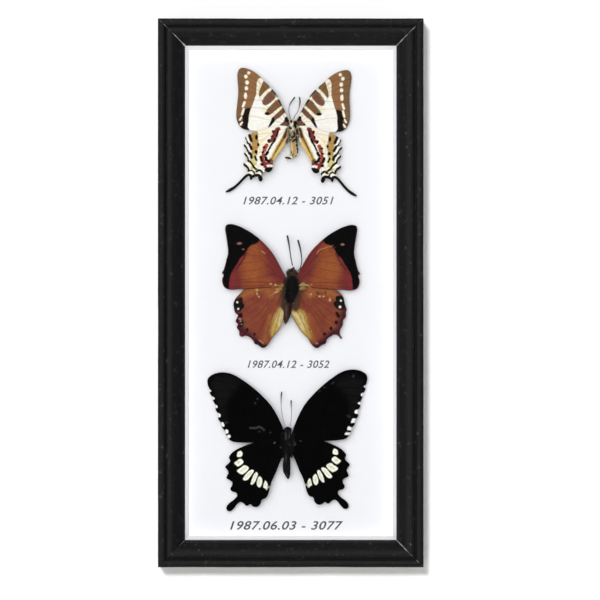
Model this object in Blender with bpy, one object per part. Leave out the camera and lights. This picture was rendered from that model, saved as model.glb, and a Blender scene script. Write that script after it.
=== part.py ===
# Framed butterfly specimen: a mitred black frame with glass, a white liner and three set
# butterflies fixed to a white mount board.
#
# +X is to the right as seen from the front, +Y goes back into the wall, +Z is up.
# The origin is where the wall's nail bears in the middle notch of the sawtooth hanger,
# on the plane of the rails' backs.

import math

import bmesh
import bpy
from mathutils import Vector

MM = 0.001  # every size below is in millimetres

# Frame
FRAME_WIDTH = 152.0
FRAME_HEIGHT = 314.0
RAIL_FACE = 15.5
REBATE_INSET = 10.5  # from the rail's outer edge to the rebate's wall
SHOULDER_DEPTH = 17.7  # height of the rebate's shoulder above the rails' backs
MITRE_GAP = 0.3
HANG_DROP = 148.7  # from the hang point down to the frame's centre

# The moulding's outline: inset from the outer edge, height above the rail's back.
MOULDING = [
    (0.0, 0.0), (0.0, 24.6), (0.5, 25.5), (1.4, 25.9), (2.5, 26.0), (3.5, 25.7), (4.3, 25.0),
    (4.7, 24.3), (5.2, 24.5), (6.2, 25.0), (7.4, 25.2), (9.0, 24.7), (10.8, 23.5),
    (12.4, 21.9), (13.6, 20.5), (14.4, 20.0), (RAIL_FACE, 19.9), (RAIL_FACE, SHOULDER_DEPTH),
    (REBATE_INSET, SHOULDER_DEPTH), (REBATE_INSET, 0.0),
]

# The sheets in the rebate, each from its back to its front above the rails' backs.
SHEET_INSET = REBATE_INSET + 0.4
BACK_PANEL = (2.9, 5.4)
MOUNT_BOARD = (5.7, 7.2)
LINER = (7.5, 15.1)
GLASS = (15.4, 17.4)
LINER_FACE = 6.6  # width of a liner strip

# Glazing points: flat steel tabs driven into the rebate's wall behind the back panel.
POINT_LENGTH = 13.0
POINT_WIDTH = 6.5
POINT_LAYER = (2.0, 2.6)
POINT_BITE = 3.6  # how deep a tab goes into the rail
POINT_PLACES = {"left": (-100.0, 0.0, 100.0), "right": (-100.0, 0.0, 100.0),
                "top": (30.0,), "bottom": (0.0,)}

# Sawtooth hanger
HANGER_HALF = 21.0
HANGER_TOP = 7.0
HANGER_FLAT = 15.5  # the tabs start here, the raised middle ends here
HANGER_STEP = 1.4
HANGER_RAISE = 1.2
HANGER_THICK = 0.8
TOOTH_HALF = 1.5
TOOTH_DEPTH = 1.6
TEETH = 7
NAIL_X = 18.6
NAIL_Z = 2.8
NAIL_HOLE = 1.0
NAIL_RINGS = [(0.7, -6.0), (0.7, 1.4), (1.9, 1.4), (1.9, 1.8), (1.2, 2.2)]  # radius, Y

# Butterflies
WING_THICK = 0.3
WING_LAYER = 0.6  # from the middle of one wing of a pair to the middle of the other
ANTENNA_RADIUS = 0.2
BODY_SIDES = 12

SWORDTAIL_FOREWING = [
    (-3.1, 0.9), (-2.9, 2.6), (-3.0, 4.6), (-3.7, 8.0), (-5.5, 12.0), (-7.3, 16.0),
    (-9.9, 20.0), (-13.6, 24.0), (-17.5, 28.0), (-22.8, 32.0), (-27.0, 33.6), (-29.6, 33.5),
    (-31.0, 31.4), (-31.3, 28.0), (-30.8, 22.0), (-30.9, 18.0), (-31.5, 12.0), (-31.9, 6.5),
    (-31.4, 3.2), (-30.0, 0.3), (-27.8, -1.4), (-24.9, -2.1), (-14.0, -0.9), (-4.6, -0.2),
]
SWORDTAIL_HINDWING = [
    (-2.9, -0.6), (-5.0, 0.2), (-9.0, 0.2), (-14.0, -1.3), (-20.5, -3.0), (-24.7, -4.5),
    (-26.8, -6.2), (-26.0, -9.0), (-27.7, -10.6), (-26.0, -13.6), (-27.5, -15.4),
    (-25.5, -18.8), (-27.9, -21.6), (-25.5, -24.6), (-25.9, -26.7), (-28.0, -29.0),
    (-33.0, -34.3), (-37.4, -36.9), (-38.1, -37.6), (-36.3, -37.3), (-33.0, -35.7),
    (-30.0, -33.0), (-26.4, -29.4), (-24.8, -28.6), (-23.5, -30.7), (-22.3, -29.5),
    (-20.6, -29.0), (-19.3, -30.2), (-18.0, -31.6), (-16.7, -30.2), (-17.1, -28.4),
    (-15.5, -25.9), (-13.6, -26.4), (-11.2, -24.6), (-10.7, -20.5), (-7.5, -15.5),
    (-4.1, -10.2), (-2.9, -7.0), (-2.7, -3.4),
]
RAJAH_FOREWING = [
    (-4.5, 1.4), (-4.2, 3.4), (-4.4, 5.8), (-5.5, 9.0), (-8.2, 14.7), (-11.5, 20.0),
    (-15.5, 24.5), (-20.0, 28.6), (-26.0, 32.6), (-32.0, 35.3), (-35.5, 35.9), (-37.6, 35.2),
    (-38.2, 33.6), (-37.8, 30.0), (-36.9, 24.0), (-36.6, 19.0), (-37.6, 15.0), (-38.3, 12.0),
    (-39.3, 9.2), (-40.1, 8.0), (-39.2, 6.8), (-39.9, 4.4), (-39.6, 1.4), (-38.2, -0.7),
    (-35.6, -1.7), (-30.0, -1.5), (-20.0, -1.0), (-10.0, -0.3), (-5.6, 0.2),
]
RAJAH_HINDWING_LEFT = [
    (-4.6, -1.2), (-6.0, 0.0), (-12.0, 1.2), (-22.0, 0.4), (-27.0, -1.5), (-30.0, -4.4),
    (-32.6, -7.4), (-33.4, -9.8), (-33.1, -12.6), (-32.3, -15.2), (-30.8, -16.4),
    (-31.4, -18.0), (-32.2, -19.8), (-30.9, -21.8), (-31.5, -23.2), (-30.2, -25.6),
    (-29.8, -28.3), (-28.5, -28.8), (-26.4, -28.2), (-23.5, -29.6), (-21.9, -31.3),
    (-21.2, -32.8), (-19.4, -33.5), (-16.5, -35.2), (-13.9, -33.6), (-11.2, -29.4),
    (-8.0, -25.6), (-6.0, -22.6), (-5.2, -20.0), (-4.9, -15.0), (-5.1, -11.0), (-5.1, -7.0),
    (-4.6, -3.4),
]
RAJAH_HINDWING_RIGHT = [
    (3.9, -1.6), (5.6, 0.2), (12.0, 0.8), (21.0, -0.4), (26.4, -2.6), (28.8, -4.7),
    (30.1, -7.2), (30.6, -10.4), (31.6, -13.0), (31.1, -15.2), (31.2, -17.2), (29.7, -19.2),
    (29.3, -22.0), (28.1, -24.3), (27.6, -26.4), (28.2, -28.2), (29.0, -29.7), (28.4, -30.0),
    (27.1, -28.6), (25.0, -27.5), (22.7, -28.5), (20.3, -30.4), (19.5, -32.6), (17.4, -33.5),
    (14.2, -35.3), (11.6, -33.3), (9.0, -29.4), (6.5, -27.0), (4.0, -23.7), (2.2, -20.0),
    (0.5, -16.8), (0.2, -14.9), (1.0, -12.9), (2.6, -10.0), (3.5, -6.5),
]
MORMON_FOREWING = [
    (-3.4, 0.8), (-3.2, 3.5), (-3.4, 6.8), (-4.8, 11.2), (-7.0, 16.0), (-10.0, 20.5),
    (-14.0, 24.8), (-20.0, 30.2), (-26.0, 34.5), (-31.0, 37.4), (-36.0, 38.7), (-40.5, 38.4),
    (-44.0, 36.9), (-45.8, 35.0), (-45.8, 31.5), (-44.7, 28.7), (-44.7, 26.9), (-43.3, 24.6),
    (-42.9, 22.8), (-41.6, 20.0), (-41.4, 17.6), (-40.0, 14.7), (-39.9, 12.2), (-38.2, 9.6),
    (-37.7, 7.4), (-35.9, 4.9), (-35.3, 2.9), (-33.8, 0.5), (-32.0, -0.8), (-29.0, -1.4),
    (-20.8, -1.6), (-10.0, -1.2), (-4.8, -0.4),
]
MORMON_HINDWING = [
    (-3.0, -1.4), (-4.8, -0.2), (-14.0, -0.6), (-20.8, -2.0), (-26.0, -4.0), (-30.0, -6.0),
    (-32.7, -8.4), (-33.6, -10.2), (-32.9, -12.2), (-34.3, -13.9), (-35.7, -15.5),
    (-34.6, -17.2), (-33.9, -18.8), (-34.7, -20.6), (-35.0, -22.0), (-33.2, -23.1),
    (-31.7, -24.4), (-31.9, -26.2), (-32.8, -28.2), (-31.6, -29.7), (-29.6, -30.3),
    (-28.9, -31.8), (-30.4, -34.0), (-33.4, -36.3), (-35.1, -38.8), (-34.7, -40.5),
    (-33.1, -41.0), (-31.0, -39.6), (-29.0, -37.0), (-27.0, -35.7), (-25.2, -36.5),
    (-23.3, -37.9), (-21.4, -37.0), (-19.8, -38.2), (-17.6, -38.5), (-15.6, -36.9),
    (-14.6, -34.3), (-12.6, -33.6), (-11.2, -31.4), (-10.0, -27.3), (-9.0, -23.8),
    (-6.6, -18.6), (-4.7, -13.2), (-3.4, -8.8), (-2.9, -5.0),
]

# Each specimen: where its thorax sits from the frame's centre, how high its wings leave the
# body above the mount board, how far they droop outwards, which wing of a pair is in front,
# its outlines, how its right wings differ from the mirrored left ones (turn in degrees, shift
# in X and Z), its body as (X, Z, half width, half depth) and its antennae from root to tip.
SPECIMENS = {
    "swordtail": {
        "place": (0.6, 95.5), "wing_height": 3.6, "droop": 3.6, "front": "hindwing",
        "forewing": SWORDTAIL_FOREWING, "hindwing": SWORDTAIL_HINDWING,
        "right_forewing": (-3.8, 1.1, 0.6), "right_hindwing": (-4.2, 2.1, 0.4),
        "body": [
            (-0.1, 3.9, 0.4, 0.4), (0.1, 3.1, 1.5, 1.4), (0.3, 1.6, 2.3, 2.0),
            (0.3, 0.2, 2.2, 2.1), (0.3, -1.0, 1.9, 2.0), (0.4, -2.8, 2.2, 2.5),
            (0.6, -5.0, 2.2, 2.4), (0.9, -7.0, 1.8, 2.0), (1.2, -8.8, 2.0, 1.9),
            (1.3, -11.5, 2.3, 2.0), (1.5, -14.0, 2.3, 1.9), (0.8, -16.2, 1.9, 1.7),
            (-0.9, -17.5, 1.3, 1.3), (-2.7, -17.9, 0.9, 0.9), (-3.9, -17.8, 0.3, 0.3),
        ],
        "antennae": {
            "left": [(-0.8, 4.3), (-1.6, 8.0), (-1.6, 11.0), (-0.8, 13.2), (0.4, 15.1), (1.8, 16.9)],
            "right": [(0.9, 4.2), (2.0, 6.4), (3.4, 8.6), (4.2, 11.0), (4.7, 14.0), (4.4, 16.9)],
        },
    },
    "rajah": {
        "place": (0.5, 3.6), "wing_height": 3.8, "droop": 3.2, "front": "forewing",
        "forewing": RAJAH_FOREWING, "hindwing": RAJAH_HINDWING_LEFT,
        "right_forewing": (-0.8, -0.9, 0.0), "right_hindwing": RAJAH_HINDWING_RIGHT,
        "body": [
            (1.3, 11.3, 0.3, 0.3), (1.0, 10.4, 0.9, 0.8), (0.6, 9.2, 1.8, 1.4),
            (0.3, 7.8, 2.6, 1.9), (0.1, 6.2, 2.3, 1.9), (0.0, 4.5, 2.8, 2.5),
            (0.0, 1.0, 3.2, 2.9), (-0.1, -2.5, 3.1, 2.8), (-0.4, -6.0, 2.6, 2.3),
            (-0.9, -8.6, 2.2, 2.0), (-1.7, -11.0, 2.1, 1.9), (-2.4, -14.0, 1.9, 1.8),
            (-2.8, -17.0, 1.7, 1.6), (-3.4, -19.6, 1.1, 1.1), (-3.8, -21.6, 0.3, 0.3),
        ],
        "antennae": {
            "left": [(0.6, 11.9), (0.2, 13.5), (-0.4, 16.5), (-1.0, 20.5), (-1.6, 24.8), (-2.5, 29.4)],
            "right": [(3.4, 8.9), (4.6, 9.8), (5.5, 12.6), (5.8, 16.0), (5.0, 21.5), (3.6, 26.8)],
        },
    },
    "mormon": {
        "place": (-1.9, -84.4), "wing_height": 3.7, "droop": 2.9, "front": "forewing",
        "forewing": MORMON_FOREWING, "hindwing": MORMON_HINDWING,
        "right_forewing": (2.4, 1.3, 0.1), "right_hindwing": (0.0, 0.1, 1.3),
        "body": [
            (0.2, 7.6, 0.4, 0.4), (0.2, 6.9, 1.4, 1.3), (0.2, 5.6, 1.7, 1.5),
            (0.1, 4.5, 1.6, 1.6), (0.0, 3.0, 2.3, 2.3), (0.0, 0.5, 2.7, 2.7),
            (0.0, -2.5, 2.5, 2.5), (-0.2, -5.0, 2.0, 2.0), (-0.3, -7.5, 2.1, 2.0),
            (-0.4, -11.0, 2.4, 2.1), (-0.5, -14.5, 2.4, 2.1), (-0.3, -18.0, 2.0, 1.7),
            (0.0, -20.6, 1.2, 1.1), (0.3, -22.4, 0.3, 0.3),
        ],
        "antennae": {
            "left": [(-1.2, 7.8), (-2.3, 11.0), (-3.3, 16.0), (-3.7, 22.0), (-3.3, 27.6)],
            "right": [(1.4, 7.8), (2.1, 11.0), (2.4, 16.0), (2.2, 19.5), (2.1, 22.8)],
        },
    },
}

# Colours are linear RGB, then roughness and metallic.
FINISHES = {
    "black_lacquer": ((0.012, 0.012, 0.013), 0.38, 0.0),
    "glass": ((0.9, 0.95, 0.93), 0.05, 0.0),
    "liner_card": ((0.86, 0.87, 0.88), 0.8, 0.0),
    "mount_board": ((0.9, 0.91, 0.94), 0.85, 0.0),
    "hardboard": ((0.27, 0.16, 0.08), 0.75, 0.0),
    "steel": ((0.5, 0.5, 0.5), 0.35, 1.0),
    "brass": ((0.7, 0.5, 0.22), 0.35, 1.0),
    "swordtail_wing": ((0.75, 0.68, 0.45), 0.7, 0.0),
    "swordtail_body": ((0.55, 0.42, 0.22), 0.8, 0.0),
    "rajah_wing": ((0.32, 0.1, 0.04), 0.7, 0.0),
    "rajah_body": ((0.04, 0.02, 0.015), 0.8, 0.0),
    "mormon_wing": ((0.01, 0.01, 0.01), 0.7, 0.0),
    "mormon_body": ((0.008, 0.008, 0.008), 0.8, 0.0),
    "antenna": ((0.05, 0.045, 0.045), 0.6, 0.0),
}


def clear_scene():
    for obj in list(bpy.data.objects):
        bpy.data.objects.remove(obj, do_unlink=True)


def make_material(name):
    color, roughness, metallic = FINISHES[name]
    material = bpy.data.materials.new(name)
    material.use_nodes = True
    shader = material.node_tree.nodes["Principled BSDF"]
    shader.inputs["Base Color"].default_value = (*color, 1.0)
    shader.inputs["Roughness"].default_value = roughness
    shader.inputs["Metallic"].default_value = metallic
    return material


def add_object(name, data, parent, finish, turn=(0.0, 0.0, 0.0)):
    obj = bpy.data.objects.new(name, data)
    bpy.context.scene.collection.objects.link(obj)
    obj.parent = parent
    obj.rotation_euler = turn
    if finish:
        data.materials.append(MATERIALS[finish])
    return obj


def mesh_from(name, bm):
    """Close a bmesh into a mesh with its faces pointing out."""
    bmesh.ops.recalc_face_normals(bm, faces=bm.faces)
    mesh = bpy.data.meshes.new(name)
    bm.to_mesh(mesh)
    bm.free()
    return mesh


def bridge_rings(bm, rings):
    """Join closed rings of vertices in order, and close both ends."""
    count = len(rings[0])
    for ring, following in zip(rings, rings[1:]):
        for i in range(count):
            j = (i + 1) % count
            bm.faces.new((ring[i], ring[j], following[j], following[i]))
    bm.faces.new(rings[0])
    bm.faces.new(list(reversed(rings[-1])))


def mitred_bar(name, length, edge, outline):
    """A bar along X whose ends are cut at 45 degrees, its outer edge at Z = edge."""
    bm = bmesh.new()
    rings = []
    for end in (-1, 1):
        ring = []
        for inset, height in outline:
            reach = length / 2 - inset - MITRE_GAP / math.sqrt(2)
            ring.append(bm.verts.new(Vector((end * reach, -height, edge - inset)) * MM))
        rings.append(ring)
    bridge_rings(bm, rings)
    return mesh_from(name, bm)


def box(name, low, high):
    bm = bmesh.new()
    bmesh.ops.create_cube(bm, size=1.0)
    size = [high[i] - low[i] for i in range(3)]
    middle = [(high[i] + low[i]) / 2 for i in range(3)]
    bmesh.ops.scale(bm, vec=Vector(size) * MM, verts=bm.verts)
    bmesh.ops.translate(bm, vec=Vector(middle) * MM, verts=bm.verts)
    return mesh_from(name, bm)


def sheet(name, layer):
    """A flat sheet that fills the rebate, from layer[0] to layer[1] above the rails' backs."""
    half_x = FRAME_WIDTH / 2 - SHEET_INSET
    half_z = FRAME_HEIGHT / 2 - SHEET_INSET
    return box(name, (-half_x, -layer[1], -half_z), (half_x, -layer[0], half_z))


def turned(name, rings, x=0.0, z=0.0, sides=12):
    """A round piece about an axis along Y, from (radius, Y) pairs."""
    bm = bmesh.new()
    loops = []
    for radius, y in rings:
        loop = []
        for k in range(sides):
            angle = 2 * math.pi * k / sides
            point = Vector((x + radius * math.cos(angle), y, z + radius * math.sin(angle)))
            loop.append(bm.verts.new(point * MM))
        loops.append(loop)
    bridge_rings(bm, loops)
    return mesh_from(name, bm)


def add_cut(target, name, mesh, parent, turn=(0.0, 0.0, 0.0)):
    cutter = add_object(name, mesh, parent, None, turn)
    cutter.hide_render = True
    cutter.display_type = "WIRE"
    modifier = target.modifiers.new(name, "BOOLEAN")
    modifier.object = cutter
    modifier.operation = "DIFFERENCE"
    modifier.solver = "EXACT"


def side_layout():
    """Each side's turn about Y, its length and its distance from the frame's centre."""
    return {
        "top": (0.0, FRAME_WIDTH, FRAME_HEIGHT / 2),
        "right": (90.0, FRAME_HEIGHT, FRAME_WIDTH / 2),
        "bottom": (180.0, FRAME_WIDTH, FRAME_HEIGHT / 2),
        "left": (270.0, FRAME_HEIGHT, FRAME_WIDTH / 2),
    }


def build_rails(frame):
    rails = {}
    for side, (turn, length, edge) in side_layout().items():
        mesh = mitred_bar("rail_" + side, length, edge, MOULDING)
        rails[side] = add_object("rail_" + side, mesh, frame, "black_lacquer",
                                 (0.0, math.radians(turn), 0.0))
    return rails


def build_liner(frame):
    outline = [(SHEET_INSET, LINER[0]), (SHEET_INSET, LINER[1]),
               (SHEET_INSET + LINER_FACE, LINER[1]), (SHEET_INSET + LINER_FACE, LINER[0])]
    for side, (turn, length, edge) in side_layout().items():
        mesh = mitred_bar("liner_" + side, length, edge, outline)
        add_object("liner_" + side, mesh, frame, "liner_card", (0.0, math.radians(turn), 0.0))


def build_glazing_points(frame, rails):
    """Pointed tabs, each in a slot of its own in the rebate's wall."""
    half = POINT_WIDTH / 2
    clear = 0.3
    for side, places in POINT_PLACES.items():
        turn, _, edge = side_layout()[side]
        spin = (0.0, math.radians(turn), 0.0)
        wall = edge - REBATE_INSET
        for number, along in enumerate(places, start=1):
            name = f"glazing_point_{side}_{number}"
            low = wall + POINT_BITE - POINT_LENGTH
            shape = [(-half, low + 1.0), (-half + 1.0, low), (half - 1.0, low), (half, low + 1.0),
                     (half, wall + 1.0), (half - 2.4, wall + POINT_BITE),
                     (2.4 - half, wall + POINT_BITE), (-half, wall + 1.0)]
            bm = bmesh.new()
            rings = [[bm.verts.new(Vector((along + x, -height, z)) * MM) for x, z in shape]
                     for height in POINT_LAYER]
            bridge_rings(bm, rings)
            add_object(name, mesh_from(name, bm), frame, "steel", spin)
            slot = box(name + "_slot",
                       (along - half - clear, -POINT_LAYER[1] - clear, wall - 1.0),
                       (along + half + clear, -POINT_LAYER[0] + clear, wall + POINT_BITE + clear))
            add_cut(rails[side], name + "_slot", slot, frame, spin)


def hanger_columns():
    """X and lower Z of each column of the hanger, with notches between its teeth."""
    inner = TEETH * TOOTH_HALF
    columns = [(-HANGER_HALF, 0.0), (-HANGER_FLAT - HANGER_STEP, 0.0), (-HANGER_FLAT, 0.0)]
    for i in range(2 * TEETH + 1):
        columns.append((-inner + i * TOOTH_HALF, 0.0 if i % 2 else -TOOTH_DEPTH))
    columns += [(HANGER_FLAT, 0.0), (HANGER_FLAT + HANGER_STEP, 0.0), (HANGER_HALF, 0.0)]
    return columns


def build_hanger(rail_top):
    """A toothed strip, flat at its nailed ends and raised from the rail between them."""
    bm = bmesh.new()
    rows = []
    for x, low in hanger_columns():
        lift = HANGER_RAISE if abs(x) <= HANGER_FLAT else 0.0
        near = 0.3 + lift
        corners = [(x, near, low), (x, near, HANGER_TOP), (x, near + HANGER_THICK, HANGER_TOP),
                   (x, near + HANGER_THICK, low)]
        rows.append([bm.verts.new(Vector(corner) * MM) for corner in corners])
    bridge_rings(bm, rows)
    hanger = add_object("sawtooth_hanger", mesh_from("sawtooth_hanger", bm), None, "brass")
    for side, x in (("left", -NAIL_X), ("right", NAIL_X)):
        hole = turned("nail_hole_" + side, [(NAIL_HOLE, -6.4), (NAIL_HOLE, 3.0)], x, NAIL_Z)
        add_cut(hanger, "hanger_hole_" + side, hole, None)
        add_cut(rail_top, "rail_hole_" + side, hole, None)
        nail = turned("hanger_nail_" + side, NAIL_RINGS, x, NAIL_Z)
        add_object("hanger_nail_" + side, nail, None, "steel")


def mirrored(outline, turn, shift_x, shift_z):
    """The right-hand wing: the left outline mirrored, turned and shifted in its plane."""
    cos_turn = math.cos(math.radians(turn))
    sin_turn = math.sin(math.radians(turn))
    return [(-x * cos_turn - z * sin_turn + shift_x, -x * sin_turn + z * cos_turn + shift_z)
            for x, z in outline]


def wing_curve(name, outline):
    """A thin plate in the curve's XY plane, its edge a smooth line through the points."""
    curve = bpy.data.curves.new(name, "CURVE")
    curve.dimensions = "2D"
    curve.fill_mode = "BOTH"
    curve.extrude = WING_THICK / 2 * MM
    curve.resolution_u = 2
    spline = curve.splines.new("BEZIER")
    spline.bezier_points.add(len(outline) - 1)
    spline.use_cyclic_u = True
    for point, (x, z) in zip(spline.bezier_points, outline):
        point.co = (x * MM, z * MM, 0.0)
        point.handle_left_type = "AUTO"
        point.handle_right_type = "AUTO"
    return curve


def build_wings(label, specimen, anchor):
    for pair in ("forewing", "hindwing"):
        in_front = specimen["front"] == pair
        height = specimen["wing_height"] - (0.0 if in_front else WING_LAYER)
        right = specimen["right_" + pair]
        outlines = {"left": specimen[pair],
                    "right": right if len(right) > 3 else mirrored(specimen[pair], *right)}
        for side, outline in outlines.items():
            droop = math.radians(specimen["droop"]) * (-1 if side == "left" else 1)
            name = f"{label}_{pair}_{side}"
            wing = add_object(name, wing_curve(name, outline), anchor, label + "_wing",
                              (math.pi / 2, 0.0, droop))
            wing.location = (0.0, -height * MM, 0.0)


def build_body(label, specimen, anchor):
    """Head, thorax and abdomen as one lofted solid that rests on the mount board."""
    stations = specimen["body"]
    height = max(depth for _, _, _, depth in stations) + 0.3
    bm = bmesh.new()
    rings = []
    for i, (x, z, half_width, half_depth) in enumerate(stations):
        before = stations[max(i - 1, 0)]
        after = stations[min(i + 1, len(stations) - 1)]
        along = Vector((after[0] - before[0], 0.0, after[1] - before[1])).normalized()
        across = Vector((-along.z, 0.0, along.x))
        ring = []
        for k in range(BODY_SIDES):
            angle = 2 * math.pi * k / BODY_SIDES
            point = (Vector((x, -height, z)) + across * half_width * math.cos(angle)
                     + Vector((0.0, half_depth * math.sin(angle), 0.0)))
            ring.append(bm.verts.new(point * MM))
        rings.append(ring)
    bridge_rings(bm, rings)
    name = label + "_body"
    add_object(name, mesh_from(name, bm), anchor, label + "_body")
    return height


def build_antennae(label, specimen, anchor, root_height):
    for side, route in specimen["antennae"].items():
        name = f"{label}_antenna_{side}"
        curve = bpy.data.curves.new(name, "CURVE")
        curve.dimensions = "3D"
        curve.bevel_depth = ANTENNA_RADIUS * MM
        curve.bevel_resolution = 1
        curve.use_fill_caps = True
        curve.resolution_u = 2
        spline = curve.splines.new("BEZIER")
        spline.bezier_points.add(len(route) - 1)
        last = len(route) - 1
        for i, (point, (x, z)) in enumerate(zip(spline.bezier_points, route)):
            height = root_height - 0.8 * i / last
            point.co = Vector((x, -height, z)) * MM
            point.handle_left_type = "AUTO"
            point.handle_right_type = "AUTO"
            point.radius = 2.2 if i == last else 1.0  # the club at the tip
        add_object(name, curve, anchor, "antenna")


def build_specimens(frame):
    for label, specimen in SPECIMENS.items():
        anchor = bpy.data.objects.new(label, None)
        bpy.context.scene.collection.objects.link(anchor)
        anchor.parent = frame
        x, z = specimen["place"]
        anchor.location = Vector((x, -MOUNT_BOARD[1], z)) * MM
        body_height = build_body(label, specimen, anchor)
        build_wings(label, specimen, anchor)
        build_antennae(label, specimen, anchor, body_height)


def build_frame():
    frame = bpy.data.objects.new("frame", None)
    bpy.context.scene.collection.objects.link(frame)
    frame.location = (0.0, 0.0, -HANG_DROP * MM)
    rails = build_rails(frame)
    build_liner(frame)
    add_object("glass", sheet("glass", GLASS), frame, "glass")
    add_object("mount_board", sheet("mount_board", MOUNT_BOARD), frame, "mount_board")
    add_object("back_panel", sheet("back_panel", BACK_PANEL), frame, "hardboard")
    build_glazing_points(frame, rails)
    build_hanger(rails["top"])
    return frame


clear_scene()
MATERIALS = {name: make_material(name) for name in FINISHES}
build_specimens(build_frame())
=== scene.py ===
import math

import bpy
import numpy as np
from mathutils import Matrix, Vector, geometry, noise


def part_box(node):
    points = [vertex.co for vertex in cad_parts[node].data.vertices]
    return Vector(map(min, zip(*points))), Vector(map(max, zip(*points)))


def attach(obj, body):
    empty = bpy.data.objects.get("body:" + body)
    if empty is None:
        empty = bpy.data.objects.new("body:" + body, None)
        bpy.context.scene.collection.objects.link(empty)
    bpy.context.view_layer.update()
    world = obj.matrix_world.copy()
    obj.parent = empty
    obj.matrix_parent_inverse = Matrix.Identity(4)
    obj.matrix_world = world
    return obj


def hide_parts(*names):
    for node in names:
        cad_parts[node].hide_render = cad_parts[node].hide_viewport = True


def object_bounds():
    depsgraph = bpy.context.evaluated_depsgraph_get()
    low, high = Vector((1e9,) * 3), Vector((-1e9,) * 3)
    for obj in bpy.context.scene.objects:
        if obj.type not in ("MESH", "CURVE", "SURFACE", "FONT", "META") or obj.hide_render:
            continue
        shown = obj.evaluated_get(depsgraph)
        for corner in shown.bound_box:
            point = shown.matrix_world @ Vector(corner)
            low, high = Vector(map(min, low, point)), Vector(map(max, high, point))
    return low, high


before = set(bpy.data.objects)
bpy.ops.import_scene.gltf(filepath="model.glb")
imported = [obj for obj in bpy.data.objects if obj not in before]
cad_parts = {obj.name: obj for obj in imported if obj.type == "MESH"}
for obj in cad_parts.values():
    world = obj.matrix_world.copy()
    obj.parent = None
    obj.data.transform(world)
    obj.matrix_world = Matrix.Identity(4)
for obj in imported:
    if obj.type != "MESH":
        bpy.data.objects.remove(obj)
cadLow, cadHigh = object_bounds()
mm = 0.001
middle = (cadLow + cadHigh) / 2  # the frame's centre in X and Z
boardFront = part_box("mount_board")[0].y
frameWidth = (cadHigh.x - cadLow.x) / mm
frameHeight = (cadHigh.z - cadLow.z) / mm
print("frame loaded:", round(frameWidth, 1), "x", round(frameHeight, 1), "mm")


def tone(red, green, blue):
    linear = [c / 255 / 12.92 if c <= 10 else ((c / 255 + 0.055) / 1.055) ** 2.4 for c in (red, green, blue)]
    return (*linear, 1.0)


def deselectAll():
    if bpy.context.mode != "OBJECT":
        bpy.ops.object.mode_set(mode="OBJECT")
    bpy.ops.object.select_all(action="DESELECT")


def pick(obj):
    deselectAll()
    obj.select_set(True)
    bpy.context.view_layer.objects.active = obj


def storeField(mesh, name, values):
    field = mesh.attributes.new(name, "FLOAT", "POINT")
    field.data.foreach_set("value", np.asarray(values, dtype=np.float32))


def storeVectors(mesh, name, values):
    field = mesh.attributes.new(name, "FLOAT_VECTOR", "POINT")
    field.data.foreach_set("vector", np.asarray(values, dtype=np.float32).ravel())


def meshPiece(name, verts, faces, fields=None, smooth=True):
    # Points are in metres, measured from the row's origin. Fields are one number for each point.
    mesh = bpy.data.meshes.new(name)
    mesh.from_pydata(np.asarray(verts).tolist(), [], faces)
    if smooth:
        mesh.polygons.foreach_set("use_smooth", [True] * len(mesh.polygons))
    for key, values in (fields or {}).items():
        storeField(mesh, key, values)
    mesh.validate()
    mesh.update()
    obj = bpy.data.objects.new(name, mesh)
    bpy.context.scene.collection.objects.link(obj)
    return obj


def toRow(points, anchor):
    # From mm round a butterfly's thorax to metres from the row's origin.
    return np.asarray(points, float) * mm + np.array(anchor)


def giveMaterial(obj, material):
    obj.data.materials.clear()
    obj.data.materials.append(material)


def settle(obj, slotName, material, *replaced):
    # Gives a finished piece its material and body, and hides the CAD nodes it stands for.
    giveMaterial(obj, material)
    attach(obj, "root")
    if replaced:
        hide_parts(*replaced)
    return obj


def node(tree, kind, inputs=None, **settings):
    made = tree.nodes.new(kind)
    for key, value in settings.items():
        setattr(made, key, value)
    for key, value in (inputs or {}).items():
        if isinstance(value, bpy.types.NodeSocket):
            tree.links.new(value, made.inputs[key])
        else:
            made.inputs[key].default_value = value
    return made


def calc(tree, operation, first, second=0.0, third=0.0, clamp=False):
    return node(tree, "ShaderNodeMath", {0: first, 1: second, 2: third},
                operation=operation, use_clamp=clamp).outputs[0]


def blend(tree, amount, under, over, kind="MIX"):
    return node(tree, "ShaderNodeMix", {0: amount, 6: under, 7: over},
                data_type="RGBA", blend_type=kind).outputs[2]


def spread(tree, value, fromLow, fromHigh, toLow=0.0, toHigh=1.0):
    return node(tree, "ShaderNodeMapRange", {"Value": value, "From Min": fromLow, "From Max": fromHigh,
                                             "To Min": toLow, "To Max": toHigh}).outputs[0]


def fieldOf(tree, name, output="Fac"):
    return node(tree, "ShaderNodeAttribute", attribute_name=name).outputs[output]


def place(tree):
    return node(tree, "ShaderNodeTexCoord").outputs["Object"]


def stretched(tree, vector, scale):
    return node(tree, "ShaderNodeMapping", {"Vector": vector, "Scale": scale}).outputs[0]


def clouds(tree, vector, scale, detail=3.0, rough=0.5):
    return node(tree, "ShaderNodeTexNoise", {"Vector": vector, "Scale": scale, "Detail": detail,
                                             "Roughness": rough}).outputs["Fac"]


def startGroup(name, inputs, outputs):
    tree = bpy.data.node_groups.new(name, "ShaderNodeTree")
    for key, value in inputs.items():
        socket = tree.interface.new_socket(key, in_out="INPUT", socket_type="NodeSocketFloat")
        socket.default_value = value
    for key in outputs:
        tree.interface.new_socket(key, in_out="OUTPUT", socket_type="NodeSocketFloat")
    return tree, tree.nodes.new("NodeGroupInput").outputs, tree.nodes.new("NodeGroupOutput")


def useGroup(tree, group, output, **inputs):
    return node(tree, "ShaderNodeGroup", inputs, node_tree=group).outputs[output]


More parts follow.
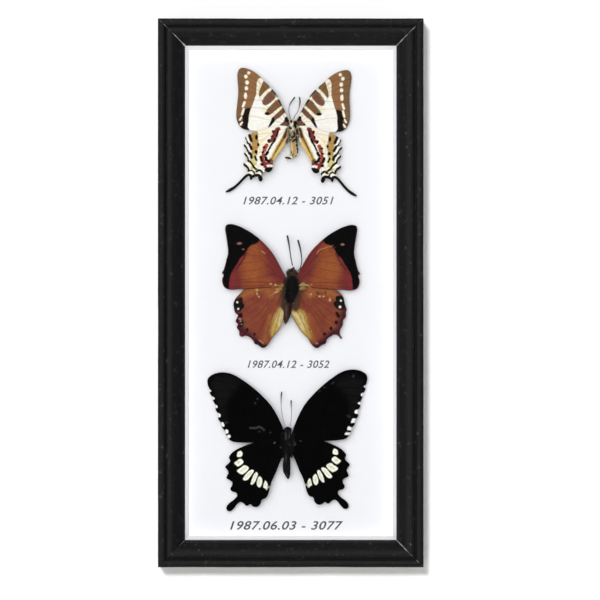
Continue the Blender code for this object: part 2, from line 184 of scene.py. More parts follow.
def startMaterial(name, **plain):
    material = bpy.data.materials.new(name)
    material.use_nodes = True
    tree = material.node_tree
    shader = tree.nodes["Principled BSDF"]
    for key, value in plain.items():
        shader.inputs[key.replace("_", " ")].default_value = value
    return material, tree, shader


def connect(tree, target, **values):
    for key, value in values.items():
        tree.links.new(value, target.inputs[key.replace("_", " ")])


def bump(tree, shader, height, strength, distance):
    made = node(tree, "ShaderNodeBump", {"Height": height, "Strength": strength, "Distance": distance})
    connect(tree, shader, Normal=made.outputs[0])


def raggedMaskGroup():
    # 1 inside a marking and 0 outside, with an uneven edge. Distances are in mm.
    tree, given, result = startGroup("raggedMask", {"Distance": 0.0, "Softness": 0.4, "Ragged": 0.3,
                                                    "Scale": 1800.0}, ["Mask"])
    uneven = calc(tree, "SUBTRACT", clouds(tree, place(tree), given["Scale"], 2.0), 0.5)
    reach = calc(tree, "MULTIPLY", given["Ragged"], 2.0)
    moved = calc(tree, "MULTIPLY_ADD", uneven, reach, given["Distance"])
    ramp = calc(tree, "ADD", calc(tree, "DIVIDE", moved, given["Softness"]), 0.5, clamp=True)
    eased = node(tree, "ShaderNodeMapRange", {"Value": ramp}, interpolation_type="SMOOTHSTEP")
    connect(tree, result, Mask=eased.outputs[0])
    return tree


def wingScalesGroup():
    # The fine overlapping scales of a wing: a brightness round 1 and a height.
    tree, given, result = startGroup("wingScales", {"Scale": 5200.0, "Contrast": 0.25}, ["Tint", "Height"])
    rows = stretched(tree, place(tree), (1.0, 1.0, 0.55))
    cells = node(tree, "ShaderNodeTexVoronoi", {"Vector": rows, "Scale": given["Scale"], "Randomness": 0.8})
    patchy = clouds(tree, place(tree), calc(tree, "MULTIPLY", given["Scale"], 0.12), 4.0, 0.6)
    mixed = calc(tree, "ADD", calc(tree, "SUBTRACT", cells.outputs["Distance"], 0.45),
                 calc(tree, "MULTIPLY", calc(tree, "SUBTRACT", patchy, 0.5), 1.6))
    darken = calc(tree, "MULTIPLY", given["Contrast"], -1.0)
    connect(tree, result, Tint=calc(tree, "MULTIPLY_ADD", mixed, darken, 1.0),
            Height=calc(tree, "SUBTRACT", 1.0, cells.outputs["Distance"]))
    return tree


def edgeWearGroup():
    # Rubbed places along a line, from the distance to it in mm.
    tree, given, result = startGroup("edgeWear", {"Distance": 0.0, "Width": 0.3, "Amount": 0.5,
                                                  "Scale": 300.0}, ["Mask"])
    coarse = clouds(tree, place(tree), given["Scale"], 2.0)
    fine = clouds(tree, place(tree), calc(tree, "MULTIPLY", given["Scale"], 9.0), 3.0, 0.7)
    near = calc(tree, "SUBTRACT", 1.0, calc(tree, "DIVIDE", given["Distance"], given["Width"]), clamp=True)
    chance = calc(tree, "ADD", calc(tree, "MULTIPLY", coarse, 0.7), calc(tree, "MULTIPLY", fine, 0.5))
    level = calc(tree, "SUBTRACT", calc(tree, "ADD", chance, calc(tree, "MULTIPLY", near, 0.35)),
                 calc(tree, "SUBTRACT", 1.28, given["Amount"]))
    connect(tree, result, Mask=calc(tree, "MULTIPLY", calc(tree, "MULTIPLY", level, 9.0, clamp=True),
                                    calc(tree, "MULTIPLY", near, 3.0, clamp=True)))
    return tree


def fibreGroup():
    # Matted fibres of card, paper or pressed board.
    tree, given, result = startGroup("fibres", {"Scale": 900.0, "Contrast": 0.05}, ["Tint", "Height"])
    flat = place(tree)
    lengthways = clouds(tree, stretched(tree, flat, (1.0, 1.0, 0.22)), given["Scale"], 4.0, 0.65)
    crossways = clouds(tree, stretched(tree, flat, (0.22, 1.0, 1.0)), given["Scale"], 4.0, 0.65)
    mat = calc(tree, "ADD", lengthways, crossways)
    tint = calc(tree, "MULTIPLY_ADD", calc(tree, "SUBTRACT", mat, 1.0), given["Contrast"], 1.0)
    connect(tree, result, Tint=tint, Height=mat)
    return tree


raggedMask = raggedMaskGroup()
wingScales = wingScalesGroup()
edgeWear = edgeWearGroup()
fibres = fibreGroup()
print("shared effects ready")


studio = {
    "lens": 380.0, "sensor": 36.0, "eye": (5.3, -3646.0, -4.1),  # mm from the frame's centre
    "clip": (0.05, 20.0),  # m
    # where each light comes from, its strength and its size in degrees
    "softBox": ((-0.34, -0.9, 0.26), 2.73, 92.0), "wallLamp": ((-0.129, -0.97, 0.205), 2.2, 7.0),
    # the sky's strength round the frame, behind the camera and as a backdrop
    "ambient": 0.32, "behindCamera": 0.03, "seen": 0.92, "darkPatch": (0.86, 0.95),
    "wallGlow": 0.16, "wallPaint": tone(252, 252, 252), "floorPaint": tone(232, 231, 228),
    "wallGap": 0.3, "floorDrop": 620.0,  # mm
    "wallWidth": 3.2, "wallHeight": 2.6, "floorDepth": 3.0,  # m
}


def buildCamera():
    data = bpy.data.cameras.new("camera")
    data.lens = studio["lens"]
    data.sensor_width = studio["sensor"]
    data.clip_start, data.clip_end = studio["clip"]
    camera = bpy.data.objects.new("camera", data)
    x, y, z = studio["eye"]
    camera.location = (middle.x + x * mm, y * mm, middle.z + z * mm)
    camera.rotation_euler = (math.pi / 2, 0.0, 0.0)
    bpy.context.scene.collection.objects.link(camera)
    bpy.context.scene.camera = camera


def linkTo(lamp, obj, state, role="receiver"):
    # EXCLUDE keeps the lamp off this object, or as a blocker stops its shadow. INCLUDE is the reverse.
    name = lamp + role.capitalize()
    linked = bpy.data.collections.get(name) or bpy.data.collections.new(name)
    linked.objects.link(obj)
    linked.collection_objects[-1].light_linking.link_state = state
    setattr(bpy.data.objects[lamp].light_linking, role + "_collection", linked)


def buildSun(name, wall, state):
    aim, strength, size = studio[name]
    data = bpy.data.lights.new(name, "SUN")
    data.energy = strength
    data.angle = math.radians(size)
    sun = bpy.data.objects.new(name, data)
    sun.rotation_mode = "QUATERNION"
    sun.rotation_quaternion = Vector(aim).to_track_quat("Z", "Y")
    bpy.context.scene.collection.objects.link(sun)
    linkTo(name, wall, state)


def buildLight(wall):
    buildSun("softBox", wall, "EXCLUDE")
    buildSun("wallLamp", wall, "INCLUDE")
    world = bpy.data.worlds.new("studio")
    bpy.context.scene.world = world
    world.use_nodes = True
    tree = world.node_tree
    direction = node(tree, "ShaderNodeTexCoord").outputs["Generated"]
    depth = node(tree, "ShaderNodeSeparateXYZ", {0: direction}).outputs[1]
    towardsFront = calc(tree, "MULTIPLY", depth, -1.0)
    strength = spread(tree, towardsFront, *studio["darkPatch"], studio["ambient"], studio["behindCamera"])
    seen = node(tree, "ShaderNodeLightPath").outputs["Is Camera Ray"]
    level = node(tree, "ShaderNodeMix", {0: seen, 2: strength, 3: studio["seen"]}).outputs[0]
    sky = tree.nodes["Background"]
    sky.inputs["Color"].default_value = (1.0, 1.0, 1.0, 1.0)
    connect(tree, sky, Strength=level)
    bpy.context.scene.view_settings.view_transform = "Standard"


def clearWhere(tree, shader, chance):
    # Makes the surface clear where the chance is 1.
    clear = node(tree, "ShaderNodeBsdfTransparent")
    mix = node(tree, "ShaderNodeMixShader", {0: chance, 1: shader.outputs[0], 2: clear.outputs[0]})
    connect(tree, tree.nodes["Material Output"], Surface=mix.outputs[0])


def stageMaterial(name, **plain):
    return startMaterial(name, Base_Color=studio[name], Roughness=0.9, Specular_IOR_Level=0.0, **plain)


def stageSheet(name, corners, material):
    sheet = meshPiece(name, corners, [(0, 1, 2, 3)])
    giveMaterial(sheet, material)
    return sheet


def buildStage():
    back = cadHigh.y + studio["wallGap"] * mm
    front = back - studio["floorDepth"]
    low = cadLow.z - studio["floorDrop"] * mm
    high = low + studio["wallHeight"]
    half = studio["wallWidth"] / 2
    wallPaint, tree, shader = stageMaterial("wallPaint", Emission_Color=(1.0, 1.0, 1.0, 1.0),
                                            Emission_Strength=studio["wallGlow"])
    # seen and lit from the front only, so that views from behind aren't blocked
    clearWhere(tree, shader, node(tree, "ShaderNodeNewGeometry").outputs["Backfacing"])
    wall = stageSheet("backdropWall", [(-half, back, low), (half, back, low), (half, back, high),
                                       (-half, back, high)], wallPaint)
    stageSheet("studioFloor", [(-half, back, low), (-half, front, low), (half, front, low),
                               (half, back, low)], stageMaterial("floorPaint")[0])
    return wall


buildCamera()
buildLight(buildStage())
print("camera, light and stage ready")


rail = {
    # inset from the outer edge and height above the back, in mm
    "profile": [
        (0.0, 0.0), (0.0, 8.0), (0.0, 16.0), (0.0, 24.3), (0.12, 24.9), (0.35, 25.3), (0.7, 25.62),
        (1.2, 25.84), (1.8, 25.96), (2.5, 26.0), (3.1, 25.9), (3.6, 25.65), (4.0, 25.3),
        (4.3, 24.9), (4.5, 24.4), (4.65, 23.9), (4.9, 23.85), (5.05, 24.3), (5.4, 24.6),
        (5.9, 24.85), (6.6, 25.08), (7.2, 25.2), (7.9, 25.12), (8.6, 24.88), (9.4, 24.5), (10.2, 24.0),
        (11.0, 23.3), (11.8, 22.5), (12.5, 21.75), (13.1, 21.05), (13.6, 20.5), (14.1, 20.15),
        (14.7, 20.02), (15.2, 19.95), (15.45, 19.8), (15.5, 19.5), (15.5, 17.7), (10.5, 17.7), (10.5, 8.0),
        (10.5, 0.0),
    ],
    "step": 2.0,  # length of a segment along the rail
    "mitreGap": 0.05, "smoothTo": 38.0,  # degrees
    # in mm: how far the outer edge waves, how deep the dents are, and where each of them reaches
    "waviness": 0.22, "waveLength": 38.0, "waveFade": 6.0,
    "dents": 0.06, "dentLength": 3.1, "dentWidth": 1.7,
    "sideDepth": 6.0, "faceHeight": 20.0, "wearHeight": 15.0,
    "tightMitre": (("bottom", 1), ("left", -1)), "tightness": 0.34,  # where a mitre hardly shows
    "arrises": (0.35, 2.4, 4.3, 7.2, 15.45),
    "black": tone(19, 19, 21), "greyed": tone(28, 28, 29), "undercoat": tone(184, 182, 180),
    "brownWear": tone(74, 66, 60), "dust": tone(120, 118, 114), "shadedSide": tone(3, 3, 3),
}


def roundTheFrame():
    # Each side's turn about Y, its length and its distance from the frame's centre.
    return (("top", 0.0, frameWidth, frameHeight / 2), ("right", 90.0, frameHeight, frameWidth / 2),
            ("bottom", 180.0, frameWidth, frameHeight / 2), ("left", 270.0, frameHeight, frameWidth / 2))


def turnedInto(turn):
    return Matrix.Translation((middle.x, 0.0, middle.z)) @ Matrix.Rotation(math.radians(turn), 4, "Y")


def cutEnds(reach, height):
    # In edit mode, cuts both ends of the bar at 45 degrees and closes them.
    for end in (-1, 1):
        bpy.ops.mesh.select_all(action="SELECT")
        bpy.ops.mesh.bisect(plane_co=(end * reach, 0.0, height), plane_no=(end, 0.0, -1.0),
                            use_fill=True, clear_outer=True)
    bpy.ops.mesh.select_all(action="SELECT")
    bpy.ops.mesh.normals_make_consistent(inside=False)
    bpy.ops.object.mode_set(mode="OBJECT")


def cutLengthways(bar, span, cuts):
    # Adds rings of points along the bar, on its edges longer than the span. Ends in edit mode.
    for line in bar.data.edges:
        first, second = (bar.data.vertices[i].co for i in line.vertices)
        line.select = abs(first.x - second.x) > span
    bpy.ops.object.mode_set(mode="EDIT")
    bpy.ops.mesh.select_mode(type="EDGE")
    bpy.ops.mesh.subdivide(number_cuts=cuts)


def buildRail(side, turn, length, edge):
    profile = rail["profile"]
    deselectAll()
    bpy.ops.mesh.primitive_circle_add(vertices=len(profile), radius=0.01, fill_type="NGON")
    bar = bpy.context.object
    bar.name = side + "Rail"
    bar.data.name = bar.name
    for vertex, (inset, height) in zip(bar.data.vertices, profile):
        vertex.co = (-length / 2 * mm, -height * mm, -inset * mm)
    bpy.ops.object.mode_set(mode="EDIT")
    bpy.ops.mesh.select_all(action="SELECT")
    bpy.ops.mesh.extrude_region_move(TRANSFORM_OT_translate={"value": (length * mm, 0.0, 0.0)})
    bpy.ops.mesh.select_all(action="DESELECT")
    bpy.ops.object.mode_set(mode="OBJECT")
    cutLengthways(bar, length / 2 * mm, int(length / rail["step"]))
    cutEnds((length / 2 - rail["mitreGap"]) * mm, 0.0)
    along, inset, height, arris, mitre = [], [], [], [], []
    for vertex in bar.data.vertices:
        x, y, z = vertex.co / mm
        along.append(x)
        inset.append(-z)
        height.append(-y)
        arris.append(min(abs(-z - line) for line in rail["arrises"]) if -y > rail["wearHeight"] else 9.0)
        gap = max(0.0, (length / 2 + z - abs(x)) / math.sqrt(2))
        tight = (side, int(math.copysign(1, x))) in rail["tightMitre"]
        mitre.append(gap + (rail["tightness"] if tight else 0.0))
        wave = noise.noise(Vector((x / rail["waveLength"], edge, 0.0))) * rail["waviness"]
        wave *= min(1.0, gap / rail["waveFade"])
        dent = noise.noise(Vector((x / rail["dentLength"], z / rail["dentWidth"], edge))) * rail["dents"]
        if -y > rail["faceHeight"]:
            vertex.co.y += max(0.0, dent) * mm
        if -z < rail["sideDepth"]:
            vertex.co.z -= (max(0.0, wave) + max(0.0, dent)) * mm
    storeVectors(bar.data, "railPlace", np.column_stack((along, inset, height)))
    storeField(bar.data, "arrisGap", arris)
    storeField(bar.data, "mitreGap", mitre)
    bar.data.transform(turnedInto(turn) @ Matrix.Translation((0.0, 0.0, edge * mm)))
    pick(bar)
    bpy.ops.object.shade_smooth_by_angle(angle=math.radians(rail["smoothTo"]))
    return bar


def lacquerMaterial():
    material, tree, shader = startMaterial("wornLacquer", Specular_IOR_Level=0.1)
    spot = fieldOf(tree, "railPlace", "Vector")
    inset = node(tree, "ShaderNodeSeparateXYZ", {0: spot}).outputs[1]
    grain = clouds(tree, stretched(tree, spot, (0.05, 1.6, 1.6)), 1.0, 5.0, 0.6)
    pores = clouds(tree, stretched(tree, spot, (0.22, 5.0, 5.0)), 1.0, 3.0, 0.6)
    arris = fieldOf(tree, "arrisGap")
    mitre = fieldOf(tree, "mitreGap")
    colour = blend(tree, spread(tree, grain, 0.35, 0.75), rail["black"], rail["greyed"])
    colour = blend(tree, spread(tree, inset, 0.2, 1.1, 0.55, 0.0), colour, rail["shadedSide"])
    rubbed = useGroup(tree, edgeWear, "Mask", Distance=arris, Width=0.7, Amount=0.25, Scale=46.0)
    colour = blend(tree, calc(tree, "MULTIPLY", rubbed, 0.35), colour, rail["brownWear"])
    chipped = useGroup(tree, edgeWear, "Mask", Distance=arris, Width=0.35, Amount=0.2, Scale=80.0)
    colour = blend(tree, calc(tree, "MULTIPLY", chipped, 0.7), colour, rail["undercoat"])
    opened = useGroup(tree, edgeWear, "Mask", Distance=mitre, Width=0.6, Scale=230.0,
                      Amount=spread(tree, inset, 3.0, 15.0, 0.36, 0.54))
    colour = blend(tree, calc(tree, "MULTIPLY", opened, 0.85), colour, rail["undercoat"])
    dust = useGroup(tree, edgeWear, "Mask", Distance=0.2, Width=1.0, Amount=0.28, Scale=360.0)
    colour = blend(tree, calc(tree, "MULTIPLY", dust, 0.4), colour, rail["dust"])
    worn = calc(tree, "MAXIMUM", calc(tree, "MAXIMUM", rubbed, chipped), opened)
    rough = calc(tree, "ADD", spread(tree, grain, 0.3, 0.7, 0.3, 0.44), calc(tree, "MULTIPLY", worn, 0.3))
    connect(tree, shader, Base_Color=colour, Roughness=rough)
    wood = calc(tree, "ADD", calc(tree, "MULTIPLY", grain, 0.6), calc(tree, "MULTIPLY", pores, 0.35))
    height = calc(tree, "SUBTRACT", wood, calc(tree, "MULTIPLY", worn, 0.5))
    bump(tree, shader, height, 0.3, 0.0001)
    return material


def buildMoulding():
    lacquer = lacquerMaterial()
    for side, turn, length, edge in roundTheFrame():
        bar = settle(buildRail(side, turn, length, edge), "black_lacquer", lacquer, "rail_" + side)
        linkTo("softBox", bar, "EXCLUDE", "blocker")


buildMoulding()
print("moulding done")


sheets = {
    # the last tone is the same card a little darker and lilac: painted shade for the left and right strips
    "boardWhite": tone(249, 250, 254), "linerWhite": tone(252, 252, 254), "linerSide": tone(247, 244, 251),
    "hardboard": tone(122, 88, 56), "hardboardDark": tone(84, 58, 37),
    # in mm: the bevels, then the liner's place and size and how far its inner edge wanders
    "boardEdge": 0.25, "paneEdge": 0.35, "backEdge": 0.4, "linerEdge": 0.3,
    "linerInset": 10.9, "linerFace": 6.6, "linerGap": 0.05, "linerWander": 0.16, "wanderLength": 22.0,
    "linerCuts": 40,  # rings of points along a strip
}


def bevelAll(obj, width):
    edges = obj.modifiers.new("edges", "BEVEL")
    edges.width = width * mm
    edges.segments = 2
    bpy.ops.object.modifier_apply(modifier="edges")


def newSlab(name, middleOf, size):
    deselectAll()
    bpy.ops.mesh.primitive_cube_add(size=1.0)
    slab = bpy.context.object
    slab.name = name
    slab.data.name = name
    slab.data.transform(Matrix.Translation(middleOf) @ Matrix.Diagonal((*size, 1.0)))
    return slab


def sheetFromNode(name, nodeName, bevel):
    # A slab at the CAD node's place with rounded arrises.
    low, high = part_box(nodeName)
    slab = newSlab(name, (low + high) / 2, high - low)
    bevelAll(slab, bevel)
    return slab


def cardMaterial(name, colour, contrast, scale, depth):
    material, tree, shader = startMaterial(name, Roughness=0.82, Specular_IOR_Level=0.12)
    tint = useGroup(tree, fibres, "Tint", Scale=scale, Contrast=contrast)
    cloudy = spread(tree, clouds(tree, place(tree), 14.0, 3.0), 0.3, 0.7, 0.985, 1.0)
    shade = calc(tree, "MULTIPLY", tint, cloudy)
    connect(tree, shader, Base_Color=blend(tree, 1.0, colour, shade, "MULTIPLY"))
    bump(tree, shader, useGroup(tree, fibres, "Height", Scale=scale, Contrast=contrast), 0.25, depth)
    return material


def hardboardMaterial():
    material, tree, shader = startMaterial("pressedBoard", Specular_IOR_Level=0.2)
    spot = place(tree)
    tint = useGroup(tree, fibres, "Tint", Scale=420.0, Contrast=0.9)
    flecks = clouds(tree, spot, 1500.0, 3.0, 0.7)
    colour = blend(tree, spread(tree, flecks, 0.5, 0.72), sheets["hardboard"], sheets["hardboardDark"])
    connect(tree, shader, Base_Color=blend(tree, 1.0, colour, tint, "MULTIPLY"),
            Roughness=spread(tree, flecks, 0.3, 0.7, 0.62, 0.85))
    parts = node(tree, "ShaderNodeSeparateXYZ", {0: spot}).outputs
    across, upright = (calc(tree, "SINE", calc(tree, "MULTIPLY", parts[i], 4200.0)) for i in (0, 2))
    weave = calc(tree, "MULTIPLY", across, upright)
    height = calc(tree, "ADD", calc(tree, "MULTIPLY", weave, 0.5), calc(tree, "MULTIPLY", tint, 0.6))
    bump(tree, shader, height, 0.5, 0.00025)
    return material


def paneMaterial():
    material, tree, shader = startMaterial("clearPane", Base_Color=(1.0, 1.0, 1.0, 1.0), Roughness=0.0,
                                           IOR=1.5, Transmission_Weight=1.0, Specular_IOR_Level=0.25)
    path = node(tree, "ShaderNodeLightPath").outputs
    clearWhere(tree, shader, calc(tree, "MAXIMUM", path["Is Shadow Ray"], path["Is Diffuse Ray"]))
    return material


def buildLinerStrip(side, turn, length, edge, material):
    # A strip of foam card with a mitre at each end and slightly soft edges.
    low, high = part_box("liner_" + side)
    face = sheets["linerFace"]
    outer = edge - sheets["linerInset"]
    reach = (length / 2 - sheets["linerInset"]) * mm
    strip = newSlab(side + "Liner", (0.0, (low.y + high.y) / 2, (outer - face / 2) * mm),
                    (2 * reach, high.y - low.y, face * mm))
    bpy.ops.object.mode_set(mode="EDIT")
    cutEnds(reach - sheets["linerGap"] * mm, outer * mm)
    bevelAll(strip, sheets["linerEdge"])
    cutLengthways(strip, reach, sheets["linerCuts"])
    bpy.ops.object.mode_set(mode="OBJECT")
    for vertex in strip.data.vertices:
        x, _, z = vertex.co / mm
        if z < outer - face / 2:
            wander = noise.noise(Vector((x / sheets["wanderLength"], edge, 3.0)))
            vertex.co.z += wander * sheets["linerWander"] * mm
    strip.data.transform(turnedInto(turn))
    bpy.ops.object.shade_smooth_by_angle(angle=math.radians(rail["smoothTo"]))
    return settle(strip, "liner_card", material, "liner_" + side)


def buildSheets():
    board = sheetFromNode("mountBoard", "mount_board", sheets["boardEdge"])
    settle(board, "mount_board", cardMaterial("whiteBoard", sheets["boardWhite"], 0.02, 700.0, 0.00003),
           "mount_board")
    # top and bottom strips get the plain card, left and right strips the darker copy with painted shade
    papers = [cardMaterial(name, sheets[name], 0.03, 900.0, 0.00003) for name in ("linerWhite", "linerSide")]
    for side, turn, length, edge in roundTheFrame():
        strip = buildLinerStrip(side, turn, length, edge, papers[side in ("left", "right")])
        linkTo("softBox", strip, "EXCLUDE", "blocker")
    back = sheetFromNode("backPanel", "back_panel", sheets["backEdge"])
    settle(back, "hardboard", hardboardMaterial(), "back_panel")
    pane = sheetFromNode("glassPane", "glass", sheets["paneEdge"])
    settle(pane, "glass", paneMaterial(), "glass")
    linkTo("softBox", pane, "EXCLUDE")  # the pane doesn't mirror the big lamp


buildSheets()
print("board, liner, pane and back done")

# Every place on a butterfly is (x, z) in mm from its thorax, on the left side. A marking is a
# patch (a list of corners), a dot (x, z, half width, half height) or a line (width, corners).

wing = {
    "edgeStep": 0.3, "gridStep": 0.42, "halfThick": 0.07, "layer": 0.6,
    "veinHeight": 0.1, "veinSpread": 0.38, "sag": 0.12, "sagSpread": 2.5, "bow": 0.35, "bowLength": 42.0,
    "wave": 0.5, "waveLength": 13.0, "pucker": 0.12, "puckerLength": 3.6, "stiffRoot": 14.0,
    "fringe": 0.07, "fringeScale": 2.3, "thinnest": 0.35, "rimWidth": 0.5,
    "softFrom": 1.2,  # a marking with an edge softer than this breaks up along the rays
    "scaleSize": 5200.0, "crispScale": 2100.0, "softScale": 700.0,
}


def autoCurve(points, perSpan=10):
    # A smooth closed line through the points.
    data = bpy.data.curves.new("outline", "CURVE")
    data.dimensions = "3D"
    data.resolution_u = perSpan
    spline = data.splines.new("BEZIER")
    spline.bezier_points.add(len(points) - 1)
    spline.use_cyclic_u = True
    for knot, (x, z) in zip(spline.bezier_points, points):
        knot.co = (x, z, 0.0)
        knot.handle_left_type = "AUTO"
        knot.handle_right_type = "AUTO"
    obj = bpy.data.objects.new("outline", data)
    bpy.context.scene.collection.objects.link(obj)
    bpy.context.view_layer.update()
    line = np.array([v.co[:2] for v in obj.to_mesh().vertices])
    obj.to_mesh_clear()
    bpy.data.objects.remove(obj)
    bpy.data.curves.remove(data)
    return line


def evenly(line, step, closed=True):
    # The same line with points the same distance apart.
    path = np.vstack([line, line[:1]]) if closed else np.asarray(line, float)
    reach = np.concatenate([[0.0], np.cumsum(np.linalg.norm(np.diff(path, axis=0), axis=1))])
    count = max(3, int(round(reach[-1] / step)))
    at = np.linspace(0.0, reach[-1], count + (0 if closed else 1), endpoint=not closed)
    return np.column_stack([np.interp(at, reach, path[:, i]) for i in range(path.shape[1])])


def rounded(points, steps=4, closed=True):
    # A Catmull-Rom line through the points.
    knots = np.asarray(points, float)
    count = len(knots)
    if count < 3:
        return knots
    made = []
    for i in range(count if closed else count - 1):
        picks = [(i + k) % count if closed else min(max(i + k, 0), count - 1) for k in (-1, 0, 1, 2)]
        p0, p1, p2, p3 = (knots[k] for k in picks)
        for t in np.linspace(0.0, 1.0, steps, endpoint=False):
            made.append(0.5 * (2 * p1 + (p2 - p0) * t + (2 * p0 - 5 * p1 + 4 * p2 - p3) * t * t
                               + (3 * p1 - p0 - 3 * p2 + p3) * t ** 3))
    if not closed:
        made.append(knots[-1])
    return np.array(made)


def gapToLine(spots, line, closed):
    # Distance from each spot to a line of straight pieces.
    path = np.vstack([line, line[:1]]) if closed else line
    gap = np.full(len(spots), 99.0)
    for a, b in zip(path, path[1:]):
        along = b - a
        size = max(float(along @ along), 1e-9)
        t = np.clip(((spots - a) @ along) / size, 0.0, 1.0)
        gap = np.minimum(gap, np.hypot(*(spots - a - t[:, None] * along).T))
    return gap


def insideLine(spots, line):
    inside = np.zeros(len(spots), bool)
    x, z = spots.T
    for (x1, z1), (x2, z2) in zip(line, np.roll(line, -1, axis=0)):
        if z1 != z2:
            crosses = ((z1 > z) != (z2 > z)) & (x < (x2 - x1) * (z - z1) / (z2 - z1) + x1)
            inside ^= crosses
    return inside


def markingField(spots, shapes, move):
    # Distance in mm to the edge of the nearest marking, positive inside it.
    field = np.full(len(spots), -9.0)
    for shape in shapes:
        if isinstance(shape, list):
            line = rounded([move(p) for p in shape])
            gap = gapToLine(spots, line, True)
            value = np.where(insideLine(spots, line), gap, -gap)
        elif len(shape) == 4:
            x, z = move(shape[:2])
            away = np.hypot((spots[:, 0] - x) / shape[2], (spots[:, 1] - z) / shape[3])
            value = (1.0 - away) * min(shape[2], shape[3])
        else:
            line = rounded([move(p) for p in shape[1]], 4, False)
            value = shape[0] / 2 - gapToLine(spots, line, False)
        field = np.maximum(field, value)
    return np.maximum(field, -9.0)


def mirroredBy(turn, shiftX, shiftZ):
    # Where a place on the left wing lies on the right one.
    c, s = math.cos(math.radians(turn)), math.sin(math.radians(turn))
    return lambda p: (-p[0] * c - p[1] * s + shiftX, -p[0] * s + p[1] * c + shiftZ)


def asIs(point):
    return point[0], point[1]


def fillOutline(edge):
    # Triangles inside a closed line, on a grid of even triangles.
    low, high = edge.min(axis=0), edge.max(axis=0)
    step = wing["gridStep"]
    rows = []
    for r, z in enumerate(np.arange(low[1], high[1], step * 0.866)):
        xs = np.arange(low[0] + (r % 2) * step / 2, high[0], step)
        rows.append(np.column_stack([xs, np.full(len(xs), z)]))
    grid = np.vstack(rows)
    grid = grid[insideLine(grid, edge)]
    grid = grid[gapToLine(grid, edge, True) > step * 0.62]
    spots = [Vector(p) for p in np.vstack([edge, grid]).tolist()]
    made = geometry.delaunay_2d_cdt(spots, [], [list(range(len(edge)))], 1, 1e-5)
    return np.array([p[:] for p in made[0]]), made[2]


def fringed(edge, seed):
    # The outline with small nicks and bumps along its normal.
    out = np.roll(edge, -1, axis=0) - np.roll(edge, 1, axis=0)
    out = np.column_stack([out[:, 1], -out[:, 0]]) / np.hypot(*out.T)[:, None]
    size = wing["fringeScale"]
    rough = np.array([noise.noise(Vector((x * size, z * size, seed))) for x, z in edge])
    return edge + out * (rough * wing["fringe"])[:, None]


def wingRelief(spots, away, veinGap, side, seed):
    # Height of the sheet over its plane: veins, sags between them, waves and the bow of a set wing.
    ease = np.clip(away / wing["stiffRoot"], 0.0, 1.0) ** 1.3
    size, fold = wing["waveLength"], wing["puckerLength"]
    drift = np.array([noise.noise(Vector((x / size, z / size, 5.0 + (side > 0)))) for x, z in spots])
    pucker = np.array([noise.noise(Vector((x / fold, z / fold, seed))) for x, z in spots])
    return (wing["veinHeight"] * np.exp(-(veinGap / wing["veinSpread"]) ** 2)
            - wing["sag"] * np.clip(veinGap / wing["sagSpread"], 0.0, 1.0)
            + ease * (wing["wave"] * drift + wing["pucker"] * pucker)
            + wing["bow"] * np.sin(np.clip(away / wing["bowLength"], 0.0, 1.0) * math.pi))


def bothFaces(spots, triangles):
    # The front and back triangles of a sheet, and the strip round its rim.
    count = len(spots)
    faces, uses = [], {}
    for a, b, d in triangles:
        (ax, az), (bx, bz), (dx, dz) = spots[a], spots[b], spots[d]
        if (bx - ax) * (dz - az) - (bz - az) * (dx - ax) < 0:
            b, d = d, b
        faces.append((a, b, d))
        faces.append((a + count, d + count, b + count))
        for pair in ((a, b), (b, d), (d, a)):
            uses[pair] = True
    for a, b in uses:
        if (b, a) not in uses:
            faces.append((b, a, a + count, b + count))
    return faces


def buildWing(name, spec, outline, move, side, anchor, height, droop, seed, fields):
    # A thin sheet with raised veins, closed all round. Fields are this wing's own markings, if any.
    edge = fringed(evenly(autoCurve(outline), wing["edgeStep"]), seed)
    spots, triangles = fillOutline(edge)
    veins = [rounded([move(p) for p in line], 5, False) for line in spec["veins"]]
    veinGap = np.min([gapToLine(spots, line, False) for line in veins], axis=0)
    rimGap = gapToLine(spots, edge, True)
    rootX, rootZ = move(spec["root"])
    away = np.hypot(spots[:, 0] - rootX, spots[:, 1] - rootZ)
    turned = np.arctan2(spots[:, 1] - rootZ, np.abs(spots[:, 0] - rootX))
    relief = wingRelief(spots, away, veinGap, side, seed)
    thin = wing["thinnest"]
    thick = wing["halfThick"] * np.clip(thin + rimGap / wing["rimWidth"], thin, 1.0)
    c, s = math.cos(math.radians(droop * side)), math.sin(math.radians(droop * side))
    sheet = np.column_stack([spots[:, 0] * c, -height + spots[:, 0] * s, spots[:, 1]])
    normal = np.array([s, -c, 0.0])
    verts = np.vstack([sheet + normal * (relief + half)[:, None] for half in (thick, -thick)])
    stored = {"veinGap": veinGap, "rimGap": rimGap}
    for label, _, _, _, shapes in spec["layers"]:
        if label in fields:
            stored[label] = markingField(spots, fields[label], asIs)
        else:
            stored[label] = markingField(spots, shapes, move)
    stored = {key: np.concatenate([value, value]) for key, value in stored.items()}
    obj = meshPiece(name, toRow(verts, anchor), bothFaces(spots, triangles), stored)
    fan = np.column_stack([turned * 20.0, away / 6.0, np.zeros(len(spots))])
    storeVectors(obj.data, "fan", np.vstack([fan, fan]))
    return obj


